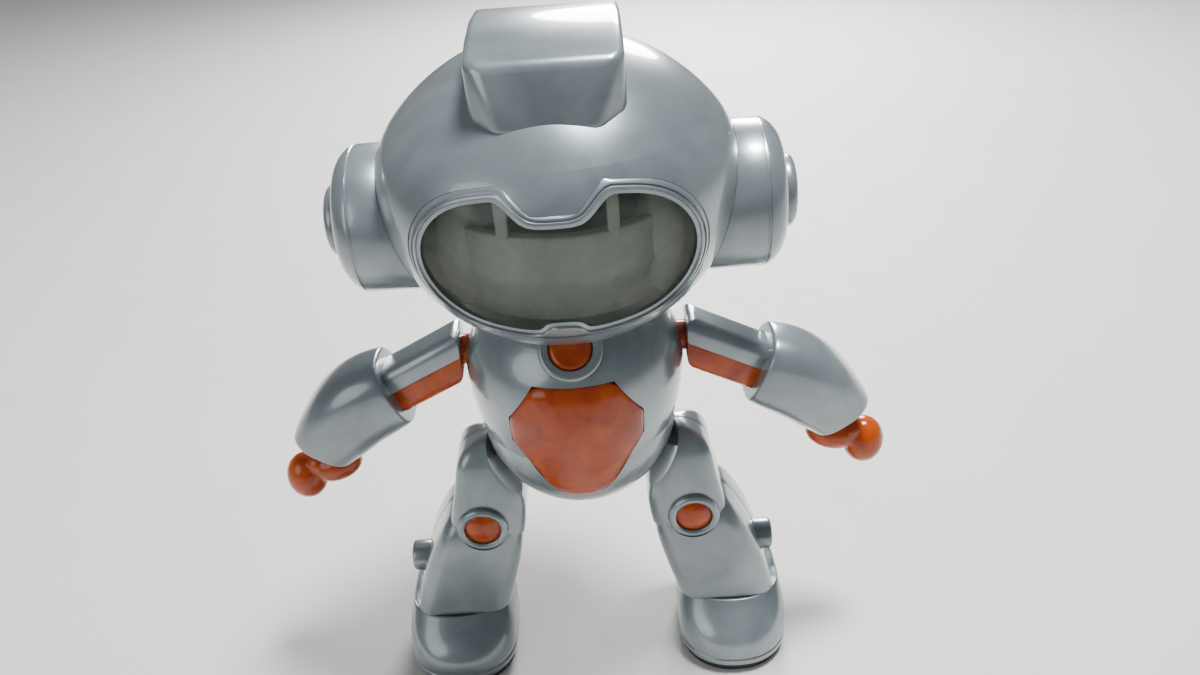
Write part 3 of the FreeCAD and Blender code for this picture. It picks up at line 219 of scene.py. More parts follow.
def draw(name, points):
    """Draw a closed outline by pulling one point from place to place."""
    points = [Vector(point) for point in points]
    piece = pen(name, points[0])
    for before, after in zip(points, points[1:] + points[:1]):
        bpy.ops.mesh.extrude_region_move(TRANSFORM_OT_translate={"value": after - before})
    bpy.ops.mesh.select_all(action="SELECT")
    bpy.ops.mesh.remove_doubles(threshold=mm(OUTLINE_WELD))
    return piece


def tidy_mesh():
    bpy.ops.mesh.select_all(action="SELECT")
    bpy.ops.mesh.remove_doubles(threshold=mm(MESH_WELD))
    bpy.ops.mesh.normals_make_consistent(inside=False)


def prism(name, points, travel):
    """Outline filled and pulled out along a travel."""
    piece = draw(name, points)
    bpy.ops.mesh.edge_face_add()
    bpy.ops.mesh.extrude_region_move(TRANSFORM_OT_translate={"value": travel})
    tidy_mesh()
    begin()
    return piece


def turned(name, points, axis=ALONG_Z, centre=(0, 0, 0), half=False, steps=96):
    """Closed outline spun into a solid: all the way round, or the half with the outline at both ends."""
    piece = draw(name, points)
    if half:
        bpy.ops.mesh.edge_face_add()
    turns = 2 if half else 1
    bpy.ops.mesh.spin(steps=steps // turns, angle=2 * math.pi / turns, center=centre, axis=axis)
    tidy_mesh()
    begin()
    return piece


def about_x(name, outline, y, z, steps=96):
    """Solid turned about a line along x, from points (x, distance from the line)."""
    return turned(name, [(x, y, z + out) for x, out in outline], ALONG_X, (0, y, z), steps=steps)


def modify(piece, kind, **settings):
    choose(piece)
    made = piece.modifiers.new(kind.title(), kind)
    for name, value in settings.items():
        setattr(made, name, value)
    bpy.ops.object.modifier_apply(modifier=made.name)


def soften(piece, width, angle=30, segments=3):
    modify(piece, "BEVEL", width=mm(width), segments=segments, angle_limit=math.radians(angle),
           limit_method="ANGLE", use_clamp_overlap=True, harden_normals=False)


def cut(piece, cutter, how="DIFFERENCE"):
    """Cut a piece with another and throw the cutter away."""
    modify(piece, "BOOLEAN", object=cutter, operation=how, solver="EXACT")
    bpy.data.objects.remove(cutter)


def subdivide(piece):
    modify(piece, "SUBSURF", levels=2, render_levels=2)


def smooth(piece, angle=32):
    choose(piece)
    bpy.ops.object.shade_smooth_by_angle(angle=math.radians(angle))


def join(pieces):
    begin()
    for piece in pieces:
        piece.select_set(True)
    bpy.context.view_layer.objects.active = pieces[0]
    bpy.ops.object.join()
    return pieces[0]


def other_side(piece, name):
    """Mirror image of a piece, with its own mesh."""
    copy = piece.copy()
    copy.data = piece.data.copy()
    call(copy, name)
    bpy.context.scene.collection.objects.link(copy)
    enter(copy)
    bpy.ops.transform.resize(value=(-1, 1, 1), center_override=(0, 0, 0))
    bpy.ops.mesh.flip_normals()
    begin()
    return copy


def arc(start, stop, radius, count=8, left=True):
    """Points after start up to stop, along an arc that bends to the left or right."""
    start, stop = Vector(start), Vector(stop)
    chord = stop - start
    reach = math.sqrt(max(radius ** 2 - (chord.length / 2) ** 2, 0))
    side = 1 if left else -1
    centre = (start + stop) / 2 + Vector((-chord.y, chord.x)).normalized() * reach * side
    first = math.atan2(start.y - centre.y, start.x - centre.x)
    swing = 2 * math.asin(min(chord.length / 2 / radius, 1)) * side
    angles = [first + swing * step / count for step in range(1, count + 1)]
    return [centre + radius * Vector((math.cos(angle), math.sin(angle))) for angle in angles]


def upright(points):
    """Flat points (across, up) in mm stood in the plane y = 0, in metres."""
    return [Vector((across, 0, up)) * 0.001 for across, up in points]


def give(piece, body, slot, *nodes):
    """Say which body carries the piece, what it is made of and which nodes it stands for."""
    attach(piece, body)
    if nodes:
        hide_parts(*nodes)
    piece.data.materials.clear()
    piece.data.materials.append(bpy.data.materials[slot])


def place(name, piece, body, slot, *nodes):
    """Finish a piece of the middle."""
    smooth(piece)
    call(piece, name)
    give(piece, body, slot, *nodes)


def place_pair(name, piece, body, slot, *nodes):
    """Finish a left piece and its mirror image. Body and node names end in the side's name."""
    smooth(piece)
    call(piece, name + "_left")
    twin = other_side(piece, name + "_right")
    for side, one in (("left", piece), ("right", twin)):
        carrier = body if body == "head" else body + "_" + side
        give(one, carrier, slot, *[node + "_" + side for node in nodes])


def lobe(centre, half, lean=0, segments=32, rings=20):
    """Egg with half sizes in mm, turned about y by a lean in degrees. It starts as a ball of radius 1 mm."""
    begin()
    bpy.ops.mesh.primitive_uv_sphere_add(segments=segments, ring_count=rings, radius=mm(1))
    piece = bpy.context.object
    enter(piece)
    bpy.ops.transform.resize(value=half, center_override=(0, 0, 0))
    turn(math.radians(lean), "Y")
    bpy.ops.transform.translate(value=centre)
    begin()
    return piece


def loft(name, rings, corner, cuts=4):
    """Tube that starts as a rounded square and is pulled from ring to ring. A ring is (centre, half width,
    half depth, turn in degrees about y). The square starts 2 mm wide, so half sizes in mm scale it."""
    begin()
    bpy.ops.mesh.primitive_plane_add(size=mm(2))
    piece = bpy.context.object
    piece.name = name
    enter(piece)
    centre, width, depth, lean = rings[0]
    bpy.ops.transform.resize(value=(width, depth, 1), center_override=(0, 0, 0))
    bpy.ops.mesh.bevel(offset=mm(corner), segments=cuts, affect="VERTICES")
    bpy.ops.mesh.delete(type="ONLY_FACE")
    bpy.ops.mesh.select_all(action="SELECT")
    turn(math.radians(lean), "Y")
    bpy.ops.transform.translate(value=Vector(centre) * 0.001)
    for last, ring in zip(rings, rings[1:]):
        travel = (Vector(ring[0]) - Vector(last[0])) * 0.001
        bpy.ops.mesh.extrude_region_move(TRANSFORM_OT_translate={"value": travel})
        middle = Vector(ring[0]) * 0.001
        turn(-math.radians(last[3]), "Y", middle)
        bpy.ops.transform.resize(value=(ring[1] / last[1], ring[2] / last[2], 1), center_override=middle)
        turn(math.radians(ring[3]), "Y", middle)
    bpy.ops.mesh.select_all(action="SELECT")
    bpy.ops.mesh.fill_holes(sides=0)
    tidy_mesh()
    begin()
    return piece


# ---- materials

def linear(code):
    """Colour of an sRGB hex code, turned to linear by the sRGB curve: straight near black, a power above."""
    values = [int(code[place:place + 2], 16) / 255 for place in (1, 3, 5)]
    curve = [value / 12.92 if value <= 0.04045 else ((value + 0.055) / 1.055) ** 2.4 for value in values]
    return curve + [1.0]


def add(tree, kind, inputs=None, **settings):
    """One node with its settings, plain values and links."""
    made = tree.nodes.new(kind)
    for name, value in settings.items():
        setattr(made, name, value)
    for socket, value in (inputs or {}).items():
        if isinstance(value, bpy.types.NodeSocket):
            tree.links.new(value, made.inputs[socket])
        else:
            made.inputs[socket].default_value = value
    return made


def blank(name, constants):
    """Material with one shader that holds some constants. Its tree is returned with the shader."""
    made = bpy.data.materials.new(name)
    made.use_nodes = True
    shader = made.node_tree.nodes["Principled BSDF"]
    for socket, value in constants.items():
        shader.inputs[socket].default_value = value
    return made.node_tree, shader


def per_metre(spacing):
    """Texture scale that repeats about once in a spacing given in millimetres."""
    return 1000 / spacing


def noise(tree, where, spacing, **inputs):
    texture = add(tree, "ShaderNodeTexNoise", {"Vector": where, "Scale": per_metre(spacing), **inputs})
    return texture.outputs["Fac"]


def spread(tree, value, low, high, least, most):
    """A value between low and high, turned into one between least and most."""
    limits = {"From Min": low, "From Max": high, "To Min": least, "To Max": most}
    return add(tree, "ShaderNodeMapRange", {"Value": value, **limits}).outputs["Result"]


def surface(tree, shader, light, dark, flow, grain, rough, peel):
    """Colour that drifts over a flow length, roughness that varies with handling, and a fine moulded skin.
    Lengths are in mm."""
    where = add(tree, "ShaderNodeTexCoord").outputs["Object"]
    drift = noise(tree, where, flow, Detail=3.0, Roughness=0.55, Distortion=0.6)
    tint = add(tree, "ShaderNodeValToRGB", {"Fac": drift})
    for stop, position, shade in zip(tint.color_ramp.elements, (0.3, 0.75), (dark, light)):
        stop.position, stop.color = position, shade
    gloss = spread(tree, noise(tree, where, grain, Detail=4.0), 0.3, 0.7, *rough)
    skin = noise(tree, where, 1.4, Detail=2.0)
    bump = add(tree, "ShaderNodeBump", {"Height": skin, "Strength": peel, "Distance": mm(0.03)})
    tree.links.new(gloss, shader.inputs["Roughness"])
    tree.links.new(bump.outputs["Normal"], shader.inputs["Normal"])
    return where, tint.outputs["Color"]


def plain(name, code, shade, flow, grain, rough, peel, constants):
    """Opaque material of one colour that drifts to a darker shade of itself."""
    tree, shader = blank(name, constants)
    light = linear(code)
    dark = [value * shade for value in light[:3]] + [1.0]
    tint = surface(tree, shader, light, dark, flow, grain, rough, peel)[1]
    tree.links.new(tint, shader.inputs["Base Color"])


def pearl_abs(name, colours):
    """Injection-moulded ABS with pearl pigment: a soft metallic body under a glossy skin,
    with fine flakes and lighter streaks where the melt flowed."""
    tree, shader = blank(name, {"Metallic": 0.5, "IOR": 1.54, "Coat Weight": 0.9, "Coat Roughness": 0.06})
    light, dark = linear(colours.pearl_light), linear(colours.pearl)
    where, tint = surface(tree, shader, light, dark, flow=14.0, grain=9.0, rough=(0.28, 0.34), peel=0.1)
    # Real flakes are about 0.05 mm; they are drawn at 0.3 mm so that they show.
    flakes = add(tree, "ShaderNodeTexVoronoi", {"Vector": where, "Scale": per_metre(0.3)}, feature="F1")
    sparkle = spread(tree, flakes.outputs["Distance"], 0.0, 0.7, 1.03, 0.97)
    body = add(tree, "ShaderNodeVectorMath", {0: tint, "Scale": sparkle}, operation="SCALE")
    tree.links.new(body.outputs["Vector"], shader.inputs["Base Color"])


def amber_styrene(name, colours):
    """Clear polystyrene dyed burnt orange: light scatters in it and comes back redder from thick parts."""
    tree, shader = blank(name, {"IOR": 1.59, "Transmission Weight": 0.12, "Subsurface Weight": 0.15,
                                "Subsurface Radius": (1.0, 0.35, 0.1), "Subsurface Scale": mm(1.5),
                                "Specular IOR Level": 0.32})
    light, dark = linear(colours.amber_light), linear(colours.amber)
    tint = surface(tree, shader, light, dark, flow=5.0, grain=4.0, rough=(0.1, 0.2), peel=0.2)[1]
    tree.links.new(tint, shader.inputs["Base Color"])


def smoky_styrene(name, colours):
    """Clear smoked polystyrene, polished in the mould: thin and see-through, hazed by rub marks."""
    tree, shader = blank(name, {"Base Color": linear(colours.smoke), "IOR": 1.59})
    rubs = noise(tree, add(tree, "ShaderNodeTexCoord").outputs["Object"], 3.0, Detail=6.0, Distortion=1.5)
    # Range of the rub marks that drives each socket, then the socket's own range.
    for socket, limits in (("Roughness", (0.4, 0.75, 0.05, 0.16)), ("Alpha", (0.3, 0.8, 0.2, 0.32))):
        tree.links.new(spread(tree, rubs, *limits), shader.inputs[socket])


def satin_panel(name, colours):
    """Grey-green ABS with a satin moulded face."""
    plain(name, colours.panel, 0.7, flow=9.0, grain=3.0, rough=(0.35, 0.5), peel=0.5, constants={"IOR": 1.54})


def dark_acetal_and_sole_shade(name, colours):
    """Dark polyacetal for the pins, matt from the mould and rubbed smoother where it turns. On the soles this dark
    colour is painted shade under the boots.
    """
    plain(name, colours.acetal_and_sole_shade, 0.6, flow=4.0, grain=2.0, rough=(0.4, 0.6), peel=0.6, constants={"IOR": 1.48})


def zinc_plate(name, colours):
    """Zinc-plated steel with a faint grain."""
    plain(name, colours.zinc, 0.75, flow=1.5, grain=0.6, rough=(0.25, 0.4), peel=0.4,
          constants={"Metallic": 1.0})


def paper_floor(name, colours):
    """Matt studio paper with a soft tooth."""
    plain(name, colours.floor, 0.96, flow=60.0, grain=10.0, rough=(0.6, 0.75), peel=0.3, constants={})


FINISHES = {"pearl_silver_plastic": pearl_abs, "orange_translucent_plastic": amber_styrene,
            "smoky_clear_plastic": smoky_styrene, "grey_panel_plastic": satin_panel,
            "dark_peg_plastic": dark_acetal_and_sole_shade, "screw_steel": zinc_plate, "studio_paper": paper_floor}
PEARL, AMBER = "pearl_silver_plastic", "orange_translucent_plastic"


class RobotFinishes(bpy.types.Operator):
    """Make every material and give it to the CAD nodes that stay"""
    bl_idname = "robot.finishes"
    bl_label = "Finishes"

    def execute(self, context):
        for name, make in FINISHES.items():
            old = bpy.data.materials.get(name)
            if old:
                old.name = name + "_plain"
            make(name, context.scene.robot_colours)
        for row in frame["record"]["subparts"]:
            carried = frame["nodes"][row["node"]]
            carried.data.materials.clear()
            carried.data.materials.append(bpy.data.materials[row["material_slot"]])
        return {"FINISHED"}


# ---- outlines shared by several pieces

def dome_outline(grow=0.0, low=None):
    """Points (radius, height) in mm from the crown down to a height."""
    size = sizes()
    top, half = DOME_HIGH.z * 1000, DOME_HIGH.x * 1000
    low = DOME_LOW.z * 1000 if low is None else low
    across = half - size.shoulder
    reach = size.crown - size.shoulder
    rise = math.sqrt(reach ** 2 - across ** 2)
    wide = top - size.crown + rise
    blend = (across + (size.shoulder + grow) * across / reach, wide + (size.shoulder + grow) * rise / reach)
    side = size.side + grow
    end = (half - size.side + math.sqrt(side ** 2 - (wide - low) ** 2), low)
    points = [Vector((0, top + grow))]
    points += arc(points[0], blend, size.crown + grow, 14, left=False)
    points += arc(blend, (half + grow, wide), size.shoulder + grow, 12, left=False)
    return points + arc((half + grow, wide), end, side, 18, left=False)


def outline_radius(points, height):
    """Radius of an outline of (radius, height) points at a height."""
    for one, two in zip(points, points[1:]):
        low, high = min(one[1], two[1]), max(one[1], two[1])
        if low <= height <= high and high > low:
            share = (height - one[1]) / (two[1] - one[1])
            return one[0] + (two[0] - one[0]) * share
    raise ValueError("the outline doesn't reach that height")


def torso_outline(grow=0.0):
    """Points (radius, height) in mm from the bottom of the belly ball to the flat top."""
    size = sizes()
    centre = TORSO_LOW.z * 1000 + size.ball_bottom
    chest = centre + size.chest_rise
    radius, wide = size.ball_radius + grow, TORSO_HIGH.x * 1000 + grow
    top = TORSO_HIGH.z * 1000 + grow
    points = [Vector((0, centre - radius))]
    points += arc(points[0], (radius, centre), radius, 20)
    points += arc((radius, centre), (wide, chest), size.chest_bulge + grow, 8)
    return points + arc((wide, chest), (size.torso_top + grow / 2, top), size.torso_shoulder + grow, 12)


def rounded(corners, radius, count=4):
    """Outline with every corner rounded. A corner is (x, y)."""
    points = []
    for index, corner in enumerate(corners):
        here = Vector(corner)
        back = (Vector(corners[index - 1]) - here).normalized()
        ahead = (Vector(corners[(index + 1) % len(corners)]) - here).normalized()
        half = back.angle(ahead) / 2
        run = radius / math.tan(half)
        start, stop = here + back * run, here + ahead * run
        bends_left = back.x * ahead.y - back.y * ahead.x < 0
        points.append(start)
        points += arc(start, stop, radius, count, left=bends_left)
    return points


def line(start, stop, count):
    """Points after start up to stop."""
    start, stop = Vector(start), Vector(stop)
    return [start.lerp(stop, step / count) for step in range(1, count + 1)]


def window_outline(grow=0.0, tab=True, rounds=2):
    """Points (x, z) in mm round the window, as many for every offset, with a brow step and a lower tab.
    Each round softens the corners a little more."""
    size = sizes()
    middle = DOME_LOW.z * 1000 + size.window_rise
    ends, flat_x, flat_z = size.window_end, size.window_half_width - size.window_end, size.window_half_height
    big = (flat_x ** 2 + flat_z ** 2 - ends ** 2) / (2 * (flat_z - ends))
    fall = big - flat_z
    turn_x = flat_x + (ends + grow) * flat_x / (big - ends)
    turn_z = (ends + grow) * fall / (big - ends)
    # An offset of two edges that meet at 45 degrees moves their corner sideways by this much.
    mitre = grow * math.tan(math.radians(22.5))
    high, low = size.brow_high - mitre, size.brow_low - mitre
    base, tip = size.tab_low - mitre, size.tab_high - mitre
    high_z = middle - fall + math.sqrt((big + grow) ** 2 - high ** 2)
    base_z = middle + fall - math.sqrt((big + grow) ** 2 - base ** 2)
    brow_z, tab_z = middle + size.brow_rise + grow, middle - size.tab_drop - grow
    points = arc((turn_x, middle - turn_z), (turn_x, middle + turn_z), ends + grow, 24)
    points += arc(points[-1], (high, high_z), big + grow, 6)
    for stop, count in (((low, brow_z), 5), ((-low, brow_z), 6), ((-high, high_z), 5)):
        points += line(points[-1], stop, count)
    points += arc(points[-1], (-turn_x, middle + turn_z), big + grow, 6)
    points += arc(points[-1], (-turn_x, middle - turn_z), ends + grow, 24)
    points += arc(points[-1], (-base, base_z), big + grow, 8)
    if tab:
        for stop, count in (((-tip, tab_z), 4), ((tip, tab_z), 4), ((base, base_z), 4)):
            points += line(points[-1], stop, count)
    else:
        points += arc(points[-1], (base, base_z), big + grow, 12)
    points += arc(points[-1], (turn_x, middle - turn_z), big + grow, 8)
    for _ in range(rounds):
        points = [(points[index - 1] + point * 2 + points[(index + 1) % len(points)]) / 4
                  for index, point in enumerate(points)]
    return points


def on_round(points, outline):
    """Flat points (x, z) in mm moved onto the front of a spun outline, in metres."""
    placed = []
    for x, z in points:
        radius = outline_radius(outline, z)
        placed.append(Vector((x, -math.sqrt(max(radius ** 2 - x ** 2, 0)), z)) * 0.001)
    return placed


def unselect(piece):
    choose(piece)
    for part in (piece.data.polygons, piece.data.edges, piece.data.vertices):
        for item in part:
            item.select = False


def pick(piece, points):
    """Select the vertices at some places, to the micrometre, and enter edit mode."""
    unselect(piece)
    chosen = {tuple(round(value * 1e6) for value in point) for point in points}
    for vertex in piece.data.vertices:
        vertex.select = tuple(round(value * 1e6) for value in vertex.co) in chosen
    bpy.ops.object.mode_set(mode="EDIT")


def skin(name, loops, closed=True):
    """Skin bridged from outline to outline. Each has the same number of points."""
    piece = join([draw(name, loop) for loop in loops])
    for before, after in zip(loops, loops[1:]):
        pick(piece, list(before) + list(after))
        bpy.ops.mesh.bridge_edge_loops()
    if closed:
        bpy.ops.mesh.select_all(action="SELECT")
        bpy.ops.mesh.fill_holes(sides=0)
    tidy_mesh()
    begin()
    return piece


def bevel_edges(piece, test, width, segments=5):
    """Round the edges whose two ends pass a test."""
    unselect(piece)
    for edge in piece.data.edges:
        one, two = (piece.data.vertices[index].co for index in edge.vertices)
        edge.select = test(one) and test(two)
    bpy.ops.object.mode_set(mode="EDIT")
    bpy.ops.mesh.select_mode(type="EDGE")
    bpy.ops.mesh.bevel(offset=mm(width), segments=segments, affect="EDGES")
    bpy.ops.mesh.select_mode(type="VERT")
    begin()


# ---- head

class RobotHead(bpy.types.Operator):
    """Window rim with its groove, and the crest block"""
    bl_idname = "robot.head"
    bl_label = "Window rim and crest"

    def execute(self, context):
        size = sizes()
        # Offset from the window and height over the dome, from the inner wall out over a groove.
        rim = size.rim
        path = ((-0.45, -0.43), (-0.42, -0.34), (0.02, -0.1), (0.12, 0.1), (0.26, 0.25), (0.46, 0.25),
                (0.54, 0.06), (0.66, 0.06), (0.74, 0.2), (0.92, 0.18), (rim, -0.02), (rim, -0.9))
        loops = [on_round(window_outline(grow, grow < 0.6, 2 if grow < rim else 0), dome_outline(proud))
                 for grow, proud in path]
        place("visor_bezel_rim", skin("rim", loops, closed=False), "head", PEARL, "visor_bezel")
        place("crest_block_soft", self.crest(size), "head", PEARL, "crest_block")
        return {"FINISHED"}

    def crest(self, size):
        half, front, back = CREST_HIGH.x, CREST_LOW.y, CREST_HIGH.y
        foot, top = CREST_LOW.z, CREST_HIGH.z
        lean, corner, arch, softness = mm(2.2), mm(size.crest_corner), mm(size.crest_arch), 1.9
        drop = arch - math.sqrt(arch ** 2 - ((back - front - lean) / 2) ** 2)
        side = [(back, foot), (back, top - drop)]
        side += arc(side[-1], (front + lean, top - drop), arch, 4) + [Vector((front, foot))]
        outline = [Vector((-half, y, z)) for y, z in side]
        block = prism("crest", outline, ALONG_X * half * 2)
        for x, y in ((1, 1), (1, -1), (-1, 1), (-1, -1)):
            edge = back if y > 0 else front
            enter(block)
            middle = (x * (half - corner / 2), edge - y * corner / 2, 0)
            bpy.ops.mesh.bisect(plane_co=middle, plane_no=(x, y, 0), use_fill=True, clear_outer=True)
        tidy_mesh()
        soften(block, softness, angle=24, segments=6)
        return block


class RobotFace(bpy.types.Operator):
    """Bent panel behind the window, with its side lobes and upright posts"""
    bl_idname = "robot.face"
    bl_label = "Face panel"

    def execute(self, context):
        size = sizes()
        middle = DOME_LOW.z * 1000 + size.window_rise
        foot, top, wall = PANEL_LOW.z * 1000, middle + size.panel_rise, size.panel_wall
        face, bend = size.panel_radius, middle - size.panel_bend
        # In mm: arcs below and above the bend, rounding of the top edge.
        low_arc, high_arc, lip = 14.0, 60.0, 0.3
        # In mm: a post's place, its half width and how far it sinks into the panel.
        post_y, post_half, sink = -14.4, 0.75, 1
        outline = [(size.panel_foot - wall, foot), (size.panel_foot, foot)]
        outline += arc(outline[-1], (face, bend), low_arc, 5, left=False)
        outline += arc((face, bend), (face, top - lip), high_arc, 5, left=False)
        outline += arc((face, top - lip), (face - lip, top), lip, 3)
        outline += [(face - wall, top), (face - wall, bend)]
        panel = turned("panel", upright(outline), half=True)
        for side in (1, -1):
            enter(panel)
            bpy.ops.mesh.bisect(plane_co=(side * mm(size.panel_half), 0, 0), plane_no=(side, 0, 0),
                                use_fill=True, clear_outer=True)
        tidy_mesh()
        begin()
        parts = [panel]
        for side in (1, -1):
            x, y, half = mm(side * size.post_x), mm(post_y), mm(post_half)
            corners = [Vector((x + across * half, y + deep * half, mm(top - sink)))
                       for across, deep in ((1, 1), (-1, 1), (-1, -1), (1, -1))]
            post = prism("post", corners, ALONG_Z * (PANEL_HIGH.z - mm(top - sink)))
            soften(post, 0.2, angle=40, segments=2)
            centre = Vector((side * 12.4, -9.6, middle - 1.6)) * 0.001
            parts += [post, lobe(centre, (3.0, 2.4, 8.2), segments=40, rings=28)]
        place("face_panel_bent", join(parts), "head", "grey_panel_plastic", "face_panel")
        return {"FINISHED"}


class RobotEars(bpy.types.Operator):
    """Ear drums with a stepped rim, and the domed caps on them"""
    bl_idname = "robot.ears"
    bl_label = "Ears"

    def execute(self, context):
        size = sizes()
        middle = (EAR_LOW.z + EAR_HIGH.z) / 2
        radius, face = (EAR_HIGH.z - EAR_LOW.z) / 2, EAR_HIGH.x
        # In mm: seat for the cap and its depth, arc of the rounded rim, and depth of the groove behind it.
        seat, sink, rim_arc, groove = mm(5.2), mm(0.15), mm(4.2), mm(0.12)
        root, rim, flat = face - mm(12), face - mm(2.4), radius - mm(2.5)
        outline = [(root, 0), (face - sink, 0), (face - sink, seat - sink),
                   (face, seat), (face, flat)]
        outline += arc(outline[-1], (rim, radius), rim_arc, 8)
        outline += [(rim - mm(0.1), radius - groove), (rim - mm(0.35), radius - groove),
                    (rim - mm(0.45), radius), (root, radius)]
        drum = about_x("drum", outline, 0, middle)
        # The drum ends just outside the dome, so that the two skins don't lie in each other.
        dome = dome_outline(0.03)
        cut(drum, turned("dome", upright([(0, dome[-1].y)] + dome[::-1]), steps=144))
        soften(drum, 0.12, angle=28, segments=2)
        place_pair("ear_drum_stepped", drum, "head", PEARL, "ear_drum")
        low, high = CAP_LOW, CAP_HIGH
        radius = (high.z - low.z) / 2
        # In mm: fall and arc of the cap's dome, then its rounded edge's fall, width and arc.
        dome_fall, dome_arc, edge_fall, edge, edge_arc = mm(0.25), mm(28), mm(1.1), mm(1.0), mm(1.05)
        outline = [(low.x, 0), (high.x, 0)]
        outline += arc(outline[-1], (high.x - dome_fall, radius - edge), dome_arc, 3)
        outline += arc(outline[-1], (high.x - edge_fall, radius), edge_arc, 6) + [(low.x, radius)]
        cap = about_x("cap", outline, 0, middle, 72)
        soften(cap, size.seam, angle=40, segments=2)
        place_pair("ear_cap_domed", cap, "head", PEARL, "ear_cap")
        return {"FINISHED"}


# ---- torso

class RobotBelly(bpy.types.Operator):
    """Domed shield lens on the belly"""
    bl_idname = "robot.belly"
    bl_label = "Belly lens"

    def execute(self, context):
        size = sizes()
        foot, top, half = BELLY_LOW.z * 1000, BELLY_HIGH.z * 1000, BELLY_HIGH.x * 1000
        # In mm: heights of the foot's two corners, rounding of every corner, height of the outline's middle.
        toe, heel, corner, waist = 0.1, 2.2, 3.0, 11.5
        right = [(size.belly_low * 0.4, foot + toe), (size.belly_low, foot + heel),
                 (half, foot + size.belly_side), (half, foot + size.belly_wide), (size.belly_top, top)]
        outline = rounded(right + [(-x, z) for x, z in reversed(right)], corner, 6)
        middle = Vector((0, foot + waist))
        # Share of the outline's size and height over the torso, from the middle to the buried edge.
        path = ((0.12, 0.62), (0.3, 0.6), (0.5, 0.56), (0.7, 0.5), (0.84, 0.44), (0.93, 0.36), (0.975, 0.22),
                (1.0, 0.0), (1.0, -1.2))
        loops = []
        for share, proud in path:
            scaled = [middle + (point - middle) * share for point in outline]
            loops.append(on_round(scaled, torso_outline(proud)))
        place("belly_shield", skin("shield", loops), "torso", AMBER, "belly_lens")
        return {"FINISHED"}


# ---- arms

def arm_place(along, across):
    """Point of the left arm in metres, from mm along the bar and mm square to it."""
    size = sizes()
    cos, sin = math.cos(size.arm_drop), math.sin(size.arm_drop)
    return Vector((COVER_LOW.x + mm(along * cos + across * sin), 0,
                   SHOULDER_Z - mm(along * sin - across * cos)))


def arm_bar(name, low, high, half_depth, outer):
    """Strip of the bar, cut upright at the shoulder, rounded along the outer of its two long faces."""
    size = sizes()
    cos = math.cos(size.arm_drop)
    start = Vector((COVER_LOW.x, 0, SHOULDER_Z))
    outline = [start + ALONG_Z * mm(low / cos), arm_place(size.arm_length, low),
               arm_place(size.arm_length, high), start + ALONG_Z * mm(high / cos)]
    outline = [point - ALONG_Y * mm(half_depth) for point in outline]
    bar = prism(name, outline, ALONG_Y * mm(half_depth * 2))
    slope = Vector((math.sin(size.arm_drop), 0, math.cos(size.arm_drop)))
    level = arm_place(0, outer).dot(slope)
    bevel_edges(bar, lambda point: abs(point.dot(slope) - level) < mm(0.01), size.arm_round)
    return bar


